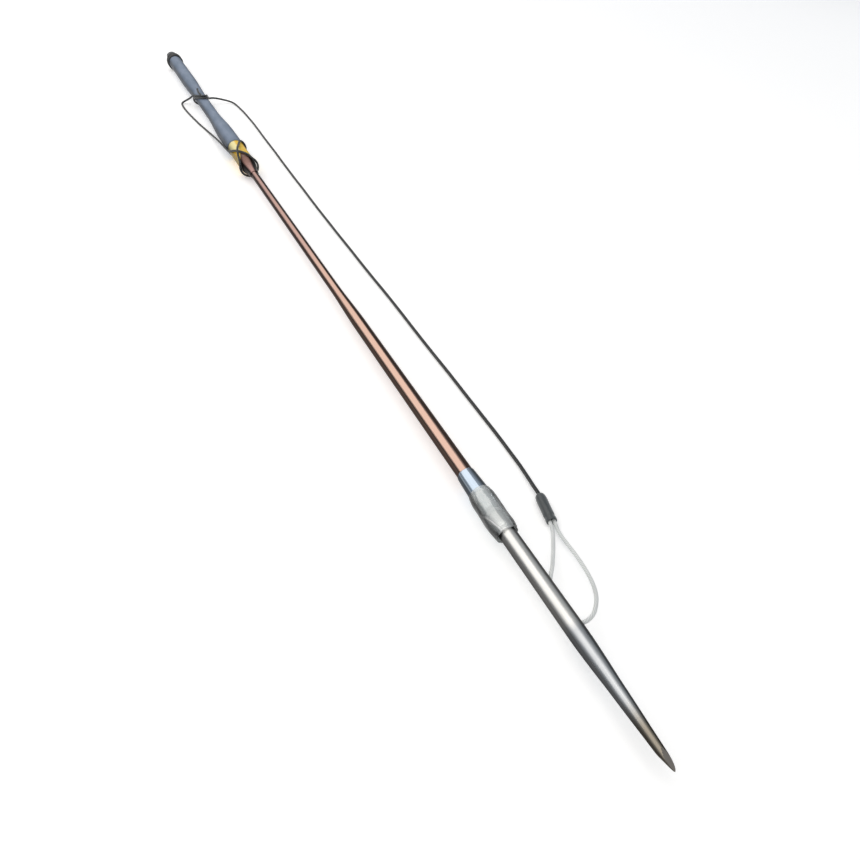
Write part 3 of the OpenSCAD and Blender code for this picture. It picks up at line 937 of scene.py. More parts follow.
def smooth_path(points: Sequence[Point], step: float) -> list[Vector]:
    """Draws a smooth curve through given points and splits it evenly.

    Args:
        points: The points, in millimetres.
        step: Distance between two samples, in millimetres.

    Returns:
        The samples, in metres.
    """
    stops = [Vector(p) for p in points]
    stops = [stops[0] * 2 - stops[1], *stops, stops[-1] * 2 - stops[-2]]
    dense = []
    for before, start, end, after in zip(stops, stops[1:], stops[2:], stops[3:]):
        count = max(4, math.ceil((end - start).length / (step / 2)))
        dense += [between(before, start, end, after, k / count) for k in range(count)]
    dense.append(stops[-2])
    reach = [0.0]
    for a, b in zip(dense, dense[1:]):
        reach.append(reach[-1] + (b - a).length)
    count = round(reach[-1] / step)
    samples = []
    place = 0
    for k in range(count + 1):
        target = reach[-1] * k / count
        while place < len(reach) - 2 and reach[place + 1] < target:
            place += 1
        share = (target - reach[place]) / (reach[place + 1] - reach[place])
        samples.append(dense[place].lerp(dense[place + 1], min(share, 1)) * MM)
    return samples


@dataclass(frozen=True)
class Braid:
    """Round braid of eight strands.

    Args:
        pitch: Distance between two crowns along the line, in millimetres.
        pairs: Strands that run each way.
        depth: Depth between the strands, in millimetres.
        dull: Crown value of the strands that run right, which get less of the painted highlight.
    """

    pitch: float = 1.8
    pairs: int = 4
    depth: float = 0.2
    dull: float = 0.45

    def relief(self, along: float, turn: float) -> tuple[float, float]:
        """Shape of a place on the line.

        Args:
            along: Distance along the line, in millimetres.
            turn: Turn about its centre, from 0 to 1.

        Returns:
            The change of radius in millimetres, and the share of painted highlight, from 1 on a crown
            to 0 in a gap.
        """
        left = self.pairs * turn + along / self.pitch
        right = self.pairs * turn - along / self.pitch
        over = 0.5 + 0.5 * math.cos(math.pi * (left + right))
        # The crown value is a painted highlight, full on the strands that run left and less on those
        # that run right.
        light = abs(math.cos(math.pi * left)) * (0.4 + 0.6 * over)
        dark = abs(math.cos(math.pi * right)) * (1 - 0.6 * over)
        return (max(light, dark) - 1) * self.depth, max(light, dark * self.dull)


@dataclass(frozen=True)
class WireRope:
    """Coated cable whose laid strands show through the coat.

    Args:
        lay: Distance along the cable in which a strand goes round once, in millimetres.
        strands: Strands in the outer layer.
        depth: Depth between the strands, in millimetres.
    """

    lay: float = 13.0
    strands: int = 6
    depth: float = 0.05

    def relief(self, along: float, turn: float) -> tuple[float, float]:
        """Shape of a place on the cable, as Braid's."""
        crown = abs(math.cos(math.pi * (self.strands * turn + self.strands * along / self.lay)))
        return (crown - 1) * self.depth, crown


def sweep(name: str, path: Sequence[Vector], radius: float, kind: Union[Braid, WireRope],
          sides: int = 16, bead: float = 0) -> Object:
    """Sweeps a cord's mesh along a path.

    Args:
        name: Name of the piece.
        path: Points of its centreline, in metres and evenly spaced.
        radius: Radius over the crowns, in millimetres.
        kind: Gives the shape of the strands.
        sides: Faces round the cord.
        bead: Length of the melted bead on its last end, in millimetres, 0 for none.

    Returns:
        The cord, closed at both ends.
    """
    count = len(path)
    side = (path[1] - path[0]).normalized().orthogonal().normalized()
    points, crowns, faces = [], [], []
    along = 0.0
    total = length_of(path) / MM
    for i, centre in enumerate(path):
        if i:
            along += (centre - path[i - 1]).length / MM
        tangent = (path[min(i + 1, count - 1)] - path[max(i - 1, 0)]).normalized()
        side = (side - side.dot(tangent) * tangent).normalized()
        other = tangent.cross(side)
        left = total - along
        for k in range(sides):
            change, crown = kind.relief(along, k / sides)
            reach = radius + change
            if bead and left < bead:
                reach = radius * 1.12 * math.sqrt(max(1 - (1 - left / bead) ** 4, 0.02))
                crown = 0.2
            turn = 2 * math.pi * k / sides
            points.append(centre + reach * MM * (side * math.cos(turn) + other * math.sin(turn)))
            crowns.append(crown)
    for i in range(count - 1):
        for k in range(sides):
            a, b = i * sides + k, i * sides + (k + 1) % sides
            faces.append((a, b, b + sides, a + sides))
    faces.append(tuple(range(sides))[::-1])
    faces.append(tuple((count - 1) * sides + k for k in range(sides)))
    mesh = bpy.data.meshes.new(name)
    mesh.from_pydata(points, [], faces)
    mesh.attributes.new("crown", "FLOAT", "POINT").data.foreach_set("value", crowns)
    mesh.polygons.foreach_set("use_smooth", [True] * len(mesh.polygons))
    mesh.update()
    return link_new(name, mesh)


@dataclass(frozen=True)
class Stock:
    """A kind of cord, as it is cut from its reel.

    Args:
        finish: Its finish.
        kind: Gives the shape of its strands.
        diameter: Its diameter, in millimetres.
        sides: Faces round it.
        step: Distance between two rings of its mesh, in millimetres.
    """

    finish: Finish
    kind: Union[Braid, WireRope]
    diameter: float
    sides: int
    step: float
    stiffness: str

    def lay(self, name: str, points: Sequence[Point], bead: float = 0) -> tuple[Object, list[Vector]]:
        """Lays a length of it through points.

        Args:
            name: Name of the piece.
            points: The points, in millimetres.
            bead: Length of the melted bead on its end, in millimetres, 0 for none.

        Returns:
            The piece, and the points of its centreline in metres.
        """
        path = smooth_path(points, self.step)
        piece = sweep(name, path, self.diameter / 2, self.kind, self.sides, bead)
        dress(piece, self.finish)
        return piece, path

    def declare(self, piece: Object, path: list[Vector]) -> None:
        """Args:
            piece: The piece.
            path: Its centreline.
        """
        length = length_of(path)
        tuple(path[0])
        LOG.info("%s: %.3f m", piece.name, length)


# The braid's pitch is drawn coarser than on a real line, whose strands would be too fine to show
# from where the photo was taken.
BRAIDED = Stock(LINE, Braid(), diameter=2.4, sides=16, step=0.32, stiffness="limp")
COATED = Stock(CABLE, WireRope(), diameter=2.2, sides=24, step=0.35, stiffness="stiff")


@dataclass
class Line:
    """The braided line, from the cable's crimp to its ties on the pole.

    Args:
        pole: The pole that it is tied to.
        gap: Gap between two stretches of it in the solids, in millimetres.
        hitch_station: Station of the hitch's top.
        hitch_pitch: Distance between two passes of the hitch.
        hitch_lean: How far the hitch falls back from its top to its underside.
        hitch_top: Angle of its top.
        hitch_end: Angle where its last pass ends.
        band_r: Radius of the band under the lashing.
        lash_front: Station of the lashing's pass in front.
        lash_rear: Station of its pass at the rear.
        lash_reach: Distance over which its first pass comes in.
        lash_from: Turn where it starts, in degrees.
        lash_to: Turn where it ends.
        lash_cross: Turn where its second pass crosses the first.
        tail_length: Length of the free tail.
    """

    pole: "Pole"
    gap: float = 0.5
    hitch_station: float = 944.5
    hitch_pitch: float = 9.5
    hitch_lean: float = 36.0
    hitch_top: float = 88.0
    hitch_end: float = 520.0
    band_r: float = 9.0
    lash_front: float = 697.0
    lash_rear: float = 757.6
    lash_reach: float = 55.0
    lash_from: float = 8.0
    lash_to: float = 566.0
    lash_cross: float = 428.0
    tail_length: float = 31.0

    RADIUS = BRAIDED.diameter / 2
    FREE = ((457.5, 33.7, 3.2), (454.6, 34.3, 3.2), (446.5, 35.1, 2.9), (438.2, 36.1, 2.4),
            (428.2, 37.2, 1.8), (414, 38, 1.3), (398, 38.5, 1.3), (378, 38.7, 1.3),
            (354, 38.9, 1.3), (328, 39.2, 1.3), (300, 39.2, 1.3), (270, 39.4, 1.3),
            (240, 39.8, 1.3), (210, 40, 1.3), (180, 39.8, 1.3), (150, 39.8, 1.3),
            (120, 40, 1.3), (90, 40, 1.3), (60, 40.2, 1.3), (30, 40.4, 1.3), (0, 40.8, 1.3),
            (-30, 41.4, 1.3), (-60, 41.7, 1.3), (-90, 42.2, 1.3), (-120, 42.8, 1.3),
            (-150, 43.6, 1.3), (-180, 44, 1.3), (-210, 44.5, 1.3), (-240, 45.2, 1.3),
            (-268, 45.6, 1.3), (-292, 45.4, 1.3), (-312, 45.2, 1.3), (-331, 44.3, 1.4),
            (-345.6, 43.2, 1.7), (-356.5, 41.6, 2.1), (-363.5, 39, 2.6), (-367.8, 35.2, 3.4),
            (-369.4, 30.4, 4.8), (-369.9, 25.3, 6.4), (-369.7, 19.7, 8), (-367.3, 14.2, 9.4),
            (-363.8, 10.3, 10.2))
    BIGHT = ((-371.3, -9.9, 13.2), (-376.5, -12.7, 10), (-382.6, -15.1, 7),
             (-388.6, -16.9, 4.6), (-391.6, -19.6, 2.6), (-389.4, -22.6, 1.5),
             (-378, -23.8, 1.3), (-363.2, -23.7, 1.3), (-346.7, -22.9, 1.3),
             (-326.5, -21.3, 1.3), (-306.5, -19.4, 1.3), (-287.3, -17.5, 1.3),
             (-267.7, -15, 1.3), (-251, -13.3, 1.8), (-239, -12.7, 3), (-221, -12.3, 5.2),
             (-201, -11.9, 7.6), (-183, -11.5, 9.4), (-168, -11.3, 10.8), (-152, -11.1, 12.2))

    def on_sleeve(self, station: float, lift: float, angle: float) -> Point:
        """Point of the line on the pole's sleeve, raised by a lift, in millimetres."""
        radius = self.pole.radius_at(station - self.pole.sleeve_at) + lift + self.RADIUS
        return tuple(DATUM.at(station, radius, angle) / MM)

    def hitch(self) -> list[Point]:
        """Points of the passes round the pole's waist, in millimetres."""
        count = math.ceil(self.hitch_end / 10)
        points = []
        for i in range(count + 1):
            angle = self.hitch_end * i / count
            off = angle - self.hitch_top
            off = abs(off - 360 * round(off / 360))
            station = (self.hitch_station + self.hitch_lean * ease(off / 110)
                       + self.hitch_pitch * (angle - self.hitch_end / 2) / 360)
            points.append(self.on_sleeve(station, 0.3, angle))
        return points

    def lashing(self) -> list[Point]:
        """Points of the crossed lashing over the band, in millimetres."""
        count = 54
        points = []
        for i in range(count + 1):
            turn = mix(self.lash_from, self.lash_to, i / count)
            if turn < 200:
                station = self.lash_front + self.lash_reach * max(1 - turn / 130, 0) ** 1.1
            else:
                station = mix(self.lash_front, self.lash_rear, ease((turn - 375) / 120))
            over = (BRAIDED.diameter + 0.6) * hump(turn - self.lash_cross, 20)
            sunk = 0.8 * ease((707 - station) / 9)
            radius = self.band_r + 0.1 + self.RADIUS + over - sunk
            points.append(tuple(DATUM.at(station, radius, 180 - turn) / MM))
        return points

    def build_free(self) -> None:
        """Lays the free line between the crimp's sleeve and the hitch."""
        first, second = (Vector(p) for p in self.hitch()[:2])
        last = first - self.gap * (second - first).normalized()
        piece, path = BRAIDED.lay("free_line", [*self.FREE, last])
        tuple(path[0])
        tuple(path[-1])
        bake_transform(piece)
        settle(piece, None, "braid_black", "shooting_line")
        BRAIDED.declare(piece, path)

    def build_tied(self) -> None:
        """Ties the line: the hitch, the slack bight and the lashing, in one length."""
        piece, path = BRAIDED.lay("tied_line", [*self.hitch(), *self.BIGHT, *self.lashing()])
        settle(piece, Body.POLE, "braid_black", "line_hitch", "line_bight", "line_lashing")
        knot = self.build_knot(path[-1] - path[-4])
        BRAIDED.declare(piece, path)

    def build_knot(self, heading: Vector, size: float = 0.58, strand_r: float = 0.92,
                   count: int = 121) -> Object:
        """Pulls the stopper knot tight against the lashing's end.

        Args:
            heading: Direction of the line there.
            size: Size of a unit of the knot's curve, in millimetres.
            strand_r: Radius of the line where it is pulled tight.
            count: Points of the curve.

        Returns:
            The knot.
        """
        low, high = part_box("line_knot")
        centre = (low + high) / 2
        turn = heading.to_track_quat("Z", "Y").to_matrix()
        path = []
        for i in range(count):
            t = 2 * math.pi * i / count
            loop = Vector((math.sin(t) + 2 * math.sin(2 * t), math.cos(t) - 2 * math.cos(2 * t),
                           -1.6 * math.sin(3 * t)))
            path.append(centre + turn @ (loop * size * MM))
        piece = sweep("stopper_knot", [*path, path[0]], strand_r, Braid(depth=0.12))
        dress(piece, LINE)
        settle(piece, Body.POLE, "braid_black", "line_knot")
        return piece

    def build_tail(self) -> None:
        """Lays the hitch's free tail on top of the pole, with a melted end."""
        start = self.hitch_station + self.hitch_pitch / 2 + 4
        points = []
        for i in range(5):
            station = start + self.tail_length * i / 4 + (0.82 if i else 0)
            points.append(self.on_sleeve(station, 0.35, 95 + 8 * math.sin(math.pi * i / 4)))
        piece, path = BRAIDED.lay("line_tail_end", points, bead=1.6)
        settle(piece, Body.POLE, "braid_black", "line_tail")
        BRAIDED.declare(piece, path)

    def build(self) -> None:
        """Makes every stretch of the line."""
        self.build_free()
        self.build_tied()
        self.build_tail()


# The tip and its cable

# Radius of the tip's straight part, in millimetres.
TIP_R = 4.75


@dataclass(frozen=True)
class CableHole:
    """A slanting hole for the cable, from the tip's side to its axis.

    Args:
        x: X of its mouth, in millimetres.
        slope: Its slope to the axis, in degrees.
        way: 1 where it goes forward on its way in, -1 where it goes back.
    """

    x: float
    slope: float
    way: int

    def inner_x(self) -> float:
        """X in metres where it meets the tip's axis."""
        return self.x * MM + self.way * TIP_R * MM / math.tan(math.radians(self.slope))


REAR_HOLE = CableHole(512, 36, 1)
FRONT_HOLE = CableHole(539, 60, -1)


@dataclass
class CableLoop:
    """The coated cable through the tip, its crimp and the shrunk sleeve.

    Args:
        shrink_length: Length of the shrunk sleeve, in millimetres.
        shrink_rear: Centre of its rear end.
        shrink_aim: Direction in which it points, along X and Y.
        crimp_length: Length of the crimp in it.
        crimp_inset: Distance of the crimp from the sleeve's front.
        leg_gap: Distance of a leg from the sleeve's axis.
        meet: Share of the way from the rear to the front hole where the legs meet.
    """

    shrink_length: float = 20.5
    shrink_rear: Point = (455.0, 34.2, 3.2)
    shrink_aim: Point = (24.8, -5.2, 0.0)
    crimp_length: float = 12.0
    crimp_inset: float = 2.0
    leg_gap: float = 1.25
    meet: float = 0.55

    REAR = ((481.2, 26.4, 3.6), (487.6, 22.6, 4.6), (493.9, 18.5, 6), (499.6, 14.5, 7.6),
            (504.2, 11.2, 9.2), (508.2, 7.9, 10.9))
    FRONT = ((480.9, 29.9, 3), (485.5, 29.3, 2.9), (492.4, 28.8, 3.6), (499.3, 28.2, 4.6),
             (506.1, 27.3, 5.6), (514.9, 25.6, 7), (522.6, 23.2, 8.3), (528.7, 20.2, 9.4),
             (533.1, 16.8, 10.2), (536.6, 13.1, 10.8), (538.6, 9.2, 11.3))
    SLEEVE_OUTLINE = ((0, 1.5), (0, 2), (0.4, 2.42), (1.2, 2.78), (2.6, 3.02), (4.6, 3.13),
                      (8, 3.15), (14, 3.12), (16, 3.15), (16.4, 2.97), (18.1, 2.98),
                      (18.6, 3.12), (19.8, 3.12), (20.3, 2.95), (20.3, 2.45), (19.2, 2.5))

    def legs(self) -> tuple[list[Point], list[Point]]:
        """Points of the rear and the front leg, from the crimp into the tip."""
        axis = DATUM.axis_z / MM
        aim = Vector(self.shrink_aim).normalized()
        side = Vector((-aim.y, aim.x, 0)) * self.leg_gap
        front = Vector(self.shrink_rear) + self.shrink_length * aim
        pressed = front - (self.crimp_inset + self.crimp_length / 2) * aim
        rear_in, front_in = REAR_HOLE.inner_x() / MM, FRONT_HOLE.inner_x() / MM
        meet = mix(rear_in, front_in, self.meet)
        rear_leg = [pressed - side, front - side, *self.REAR, (REAR_HOLE.x, TIP_R, axis),
                    (rear_in - 1.5, 1.09, axis), (rear_in + 1.5, 0, axis), (meet, 0, axis)]
        front_leg = [pressed + side, front + side, *self.FRONT, (FRONT_HOLE.x, TIP_R, axis),
                     (front_in + 0.75, 1.3, axis), (front_in - 1.4, 0, axis), (meet + 1, 0, axis)]
        return rear_leg, front_leg

    def build_leg(self, name: str, points: list[Point], node: str) -> None:
        """Lays one leg of the cable.

        Args:
            name: Name of the piece.
            points: Its points, from the crimp into the tip.
            node: CAD node that it replaces.
        """
        piece, path = COATED.lay(name, points[::-1])
        settle(piece, Body.TIP, "cable_coat", node)
        COATED.declare(piece, path)

    def build_sleeve(self) -> Object:
        """Shrinks the black sleeve over the crimp, with its two-step rim.

        Returns:
            The sleeve, a little flat over the crimp and rippled.
        """
        piece = turned("shrunk_sleeve", self.SLEEVE_OUTLINE, Ends.SOLID, sides=64, sharp=40,
                       upright=True)
        for vertex in piece.data.vertices:
            along = vertex.co.z / MM
            angle = math.degrees(math.atan2(vertex.co.y, vertex.co.x))
            flat = 1 - 0.05 * ease((along - 4) / 5) * abs(math.sin(math.radians(angle)))
            ripple = 1 + 0.02 * noise.noise(round_axis(along * 0.35, 1, angle))
            vertex.co.x *= flat * ripple
            vertex.co.y *= flat * ripple
        turn = Vector(self.shrink_aim).normalized().to_track_quat("Z", "Y").to_matrix().to_4x4()
        piece.data.transform(Matrix.Translation(Vector(self.shrink_rear) * MM) @ turn)
        dress(piece, SHRINK)
        settle(piece, Body.TIP, "shrink_black", "shrink_sleeve")
        return piece

    def build(self) -> None:
        """Makes the sleeve, then the legs that end in the crimp."""
        sleeve = self.build_sleeve()
        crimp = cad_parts["cable_crimp"]
        dress(crimp, CRIMP)
        rear, front = self.legs()
        self.build_leg("cable_rear_leg", rear, "cable_leg_rear")
        self.build_leg("cable_front_leg", front, "cable_leg_front")


@dataclass
class SlipTip:
    """The loose steel tip, turned from bar, with its ground point and its holes.

    Args:
        length: Length of the tip, in millimetres.
        socket_r: Radius of the socket.
        socket_depth: Depth of the socket.
        drill_r: Radius of the cable's holes.
        facet_from: Distance of a ground flat from the axis at the point.
        facet_slope: Slope of a ground flat to the axis, in degrees.
        facet_angles: Angles about the axis that the flats face.
    """

    length: float = 145.0
    socket_r: float = 2.8
    socket_depth: float = 40.0
    drill_r: float = 1.6
    facet_from: float = 0.25
    facet_slope: float = 11.9
    facet_angles: tuple[float, ...] = (85.0, 205.0, 325.0)

    TAPER = ((0.1, 0.12), (0.8, 0.72), (2.6, 1.4), (5.5, 1.92), (11.5, 2.27), (17, 2.52),
             (22.7, 2.82), (28.6, 3.1), (34.5, 3.36), (40.6, 3.62), (46.8, 3.98), (53, 4.3),
             (60, 4.6), (66, 4.74))

    def facet_normals(self) -> list[Vector]:
        """Directions that the ground flats face."""
        slope = math.radians(self.facet_slope)
        turns = [math.radians(angle) for angle in self.facet_angles]
        return [Vector((math.sin(slope), math.cos(slope) * math.cos(turn),
                        math.cos(slope) * math.sin(turn))) for turn in turns]

    def grind(self) -> None:
        """Grinds the three flats that meet at the point of the active piece."""
        bpy.ops.object.mode_set(mode="EDIT")
        for normal in self.facet_normals():
            place = DATUM.at(0) + normal * self.facet_from * MM
            bpy.ops.mesh.select_all(action="SELECT")
            bpy.ops.mesh.bisect(plane_co=place, plane_no=normal, use_fill=True, clear_outer=True)
        bpy.ops.object.mode_set(mode="OBJECT")

    def bore_socket(self, piece: Object) -> None:
        """Bores the socket from the tip's rear, with a chamfered rim."""
        end = self.length - self.socket_depth
        cut(piece, DATUM.at(self.length + 1), DATUM.at(end), self.socket_r)
        cut(piece, DATUM.at(self.length + 0.01), DATUM.at(self.length - 0.6),
            self.socket_r + 0.6, self.socket_r - 0.05)

    def drill_cable_holes(self, piece: Object) -> None:
        """Drills the two cable holes, widens their mouths, and joins them to the socket."""
        for hole in (REAR_HOLE, FRONT_HOLE):
            angle = math.radians(hole.slope)
            inner = Vector((hole.inner_x(), 0, DATUM.axis_z))
            out = Vector((-hole.way * math.cos(angle), math.sin(angle), 0))
            mouth = inner + out * (TIP_R * MM / math.sin(angle))
            cut(piece, inner, inner + out * 12 * MM, self.drill_r)
            cut(piece, mouth - out * 0.5 * MM, mouth + out * 1.2 * MM, self.drill_r,
                self.drill_r + 1)
        cut(piece, DATUM.at(self.length - self.socket_depth + 1),
            Vector((FRONT_HOLE.inner_x(), 0, DATUM.axis_z)), self.drill_r)

    def build(self) -> None:
        """Turns, grinds and drills the tip."""
        outline = eased_outline(self.TAPER, 1.2)
        outline += [(station, TIP_R) for station in (72, 100, 122, self.length - 0.5)]
        outline += [(self.length, TIP_R - 0.5)]
        piece = turned("steel_tip", outline, Ends.SOLID, sides=128)
        self.grind()
        self.bore_socket(piece)
        self.drill_cable_holes(piece)
        select_only(piece)
        bpy.ops.object.shade_smooth_by_angle(angle=math.radians(25))
        dress(piece, TIP_STEEL, POINT_GROUND)
        for face in piece.data.polygons:
            if any(face.normal.dot(normal) > 0.9999 for normal in self.facet_normals()):
                face.material_index = 1
                face.use_smooth = False
        settle(piece, Body.TIP, "tip_steel", "slip_tip")


# The pole and its shaft


@dataclass
class ClearWrap:
    """The clear film wound over the tip's joint, creased and flared in front.

    Args:
        thickness: Thickness of the film, in millimetres.
        crease: Height of its long crease.
        crease_ends: Angles about the axis where that crease starts and ends.
        rib: Height of an edge wound on the last turn.
        ribs: Stations of these edges.
        flare_angle: Angle of the side to which the front lip flares.
        lip_least: Least radius of that lip, which clears the tip.
    """

    thickness: float = 0.16
    crease: float = 0.42
    crease_ends: tuple[float, float] = (172.0, 129.0)
    rib: float = 0.09
    ribs: tuple[float, ...] = (131.3, 133.1, 158.3, 159.8, 161.6)
    flare_angle: float = 196.0
    lip_least: float = 5.25

    PROFILE = ((130.8, 5.7), (131.6, 5.86), (133.5, 6.5), (136.5, 7.05), (140, 7.2),
               (148, 7.2), (155, 7.16), (158.5, 7.02), (160.8, 6.72), (162.6, 6.42))

    def fold_at(self, station: float, angle: float) -> float:
        """How much of a place is on the long crease, from 0 to 1."""
        share = min(max((147 - station) / 15, 0), 1)
        line = mix(*self.crease_ends, share ** 0.55)
        return hump((angle - line) * 0.12, 0.42) * ease((148 - station) / 1.5)

    def ribs_at(self, station: float) -> float:
        """How much of a place is on one of the film's edges, from 0 to 1."""
        return max(hump(station - edge, 0.28) for edge in self.ribs)

    def shape(self, station: float, radius: float, angle: float) -> float:
        """New radius of a place on the film.

        Args:
            station: Station of the place.
            radius: Its radius as turned.
            angle: Its angle about the axis.

        Returns:
            The radius with creases, wrinkles and the flared lip.
        """
        turn = math.radians(angle)
        spot = round_axis(station * 0.22, 2.2, angle)
        wrinkle = 0.24 * noise.noise(spot * 0.8) + 0.05 * noise.noise(spot * 2)
        lip = ease((136 - station) / 7)
        wrinkle += 0.16 * lip * math.sin(7 * turn + 1.2 * math.sin(2 * turn))
        side = math.cos(math.radians(angle - self.flare_angle))
        flare = 0.75 * lip * max(side, 0) ** 2 + 0.3 * side * hump(station - 141, 9)
        crease = self.crease * self.fold_at(station, angle) + self.rib * self.ribs_at(station)
        least = self.lip_least if station < 133 else 0
        return max(radius + wrinkle + flare + crease, least)

    def build(self) -> None:
        """Winds the film and stores its folds for the material."""
        piece = turned("clear_film", eased_outline(self.PROFILE, 0.4), Ends.OPEN, sides=180,
                       sharp=180)
        move_points(piece, self.shape)
        folds = []
        for vertex in piece.data.vertices:
            station, _, angle = DATUM.polar(vertex.co)
            folds.append(min(1.0, self.fold_at(station, angle) + 0.6 * self.ribs_at(station)))
        piece.data.attributes.new("fold", "FLOAT", "POINT").data.foreach_set("value", folds)
        apply_modifier(piece, "SOLIDIFY", thickness=self.thickness * MM, offset=-1)
        dress(piece, FILM)
        settle(piece, Body.POLE, "clear_film", "clear_wrap")


@dataclass
class FrontShaft:
    """The polished ferrule and the copper-toned shaft behind it.

    Args:
        ferrule_at: Station of the ferrule's front.
        ferrule_length: Its length, in millimetres.
        ferrule_seat: Depth in it at which the shaft's end sits.
        swell_r: Radius of the ferrule's swollen front.
        tail_r: Radius of its rear.
        shaft_at: Station of the shaft's front.
        shaft_end: Station of the shaft's rear.
        thick_r: Radius of the shaft's front part.
        thin_r: Radius of its rear part.
        taper_at: Station where the taper starts.
        taper_end: Station where it ends.
        bore_r: Radius of the bore over the insert.
        bore_depth: Depth of that bore.
        stud_r: Radius of the bores over the shank and the stud.
    """

    ferrule_at: float = 161.0
    ferrule_length: float = 18.0
    ferrule_seat: float = 3.0
    swell_r: float = 6.06
    tail_r: float = 5.42
    shaft_at: float = 164.0
    shaft_end: float = 735.0
    thick_r: float = 4.9
    thin_r: float = 3.95
    taper_at: float = 350.0
    taper_end: float = 410.0
    bore_r: float = 3.64
    bore_depth: float = 34.04
    stud_r: float = 2.54

    def build_ferrule(self) -> None:
        """Turns the ferrule, with a slight swell at its front."""
        front, rear = self.ferrule_at, self.ferrule_at + self.ferrule_length
        seat, seat_r = front + self.ferrule_seat, self.thick_r + 0.04
        outline = [(front, self.stud_r), (front, self.swell_r - 0.16),
                   (front + 0.25, self.swell_r), (front + 0.8, self.swell_r + 0.04)]
        outline += evenly(front + 1.5, rear - 0.5, 8,
                          lambda share: mix(self.swell_r, self.tail_r, share), first=0)
        outline += [(rear - 0.12, self.tail_r - 0.06), (rear, self.tail_r - 0.22), (rear, seat_r),
                    (seat, seat_r), (seat, self.stud_r)]
        piece = turned("polished_ferrule", outline, Ends.RING, sides=128, sharp=50)
        dress(piece, FERRULE)
        settle(piece, Body.POLE, "ferrule_polish", "front_ferrule")

    def build_shaft(self) -> None:
        """Turns the shaft with its long taper."""
        bore_end = self.shaft_at + self.bore_depth
        outline = [(self.shaft_at, self.bore_r), (self.shaft_at, self.thick_r)]
        outline += evenly(self.shaft_at, self.taper_at, 6, lambda share: self.thick_r)
        outline += evenly(self.taper_at, self.taper_end, 12,
                          lambda share: mix(self.thick_r, self.thin_r, ease(share)))
        outline += evenly(self.taper_end, self.shaft_end, 10, lambda share: self.thin_r)
        outline += [(self.shaft_end, self.stud_r), (bore_end, self.stud_r), (bore_end, self.bore_r)]
        piece = turned("copper_shaft", outline, Ends.RING, sides=128)
        dress(piece, COPPER)
        settle(piece, Body.POLE, "shaft_copper", "front_shaft")

    def build(self) -> None:
        """Makes the ferrule and the shaft."""
        self.build_ferrule()
        self.build_shaft()


@dataclass
class PoleFront:
    """The dark boot and the yellow band at the front of the pole.

    Args:
        boot_at: Station of the boot's lip.
        band_at: Station where the boot ends and the band starts.
        band_end: Station where the band ends.
        shaft_r: Radius of the boot's bore on the shaft.
        wall: Thickness of the boot's lip, in millimetres.
        boot_r: Radius of the boot's rear.
        band_r: Radius of the band.
        core_r: Radius of the bore over the core tube.
        head_depth: Depth of the coupler's head in the boot.
        tape_width: Width of the tape.
        tape_step: Height of the step where one turn of tape ends on the last.
    """

    boot_at: float = 672.0
    band_at: float = 706.0
    band_end: float = 760.0
    shaft_r: float = 3.99
    wall: float = 0.5
    boot_r: float = 8.8
    band_r: float = 8.9
    core_r: float = 6.64
    head_depth: float = 8.04
    tape_width: float = 19.0
    tape_step: float = 0.14

    def build_boot(self) -> None:
        """Moulds the boot: a bead at its lip and a smooth swelling cone."""
        lip = self.shaft_r + self.wall
        head = self.band_at - self.head_depth
        outline = [(self.boot_at, self.shaft_r), (self.boot_at, lip - 0.12),
                   (self.boot_at + 0.2, lip + 0.02)]
        outline += evenly(self.boot_at, self.band_at, 28,
                          lambda u: mix(lip, self.boot_r, ease(u * 0.93 + 0.02) / ease(0.95)))
        outline += [(self.band_at, self.core_r), (head, self.core_r), (head, self.shaft_r)]
        piece = turned("nose_boot_gloss", outline, Ends.RING)
        move_points(piece, self.slump)
        dress(piece, BOOT)
        settle(piece, Body.POLE, "boot_rubber", "nose_boot")

    def slump(self, station: float, radius: float, angle: float) -> float:
        """Small unevenness of the boot's outside."""
        outside = ease((radius - self.shaft_r - 0.3) / 0.4) * ease((self.band_at - station) / 3)
        return radius + 0.1 * outside * noise.noise(round_axis(station * 0.12, 2, angle))

    def wound(self, station: float, radius: float, angle: float) -> float:
        """Radius of the band, stepped where one turn of tape ends on the last."""
        if radius < self.band_r - 1:
            return radius
        turn = (angle / 360 + station / self.tape_width) % 1
        step = turn if turn < 0.93 else (1 - turn) / 0.07
        return radius + self.tape_step * (step - 0.5)

    def build_band(self) -> None:
        """Winds the band of tape over the core tube."""
        outline = [(self.band_at, self.core_r), (self.band_at, self.band_r - 0.4),
                   (self.band_at + 0.4, self.band_r)]
        outline += evenly(self.band_at + 0.8, self.band_end - 0.3, 54, lambda share: self.band_r,
                          first=0)
        outline += [(self.band_end, self.band_r - 0.25), (self.band_end, self.core_r)]
        piece = turned("yellow_tape", outline, Ends.RING, sides=120, sharp=60)
        move_points(piece, self.wound)
        dress(piece, BAND)
        settle(piece, Body.POLE, "band_yellow", "yellow_band")

    def build(self) -> None:
        """Makes the boot and the band."""
        self.build_boot()
        self.build_band()


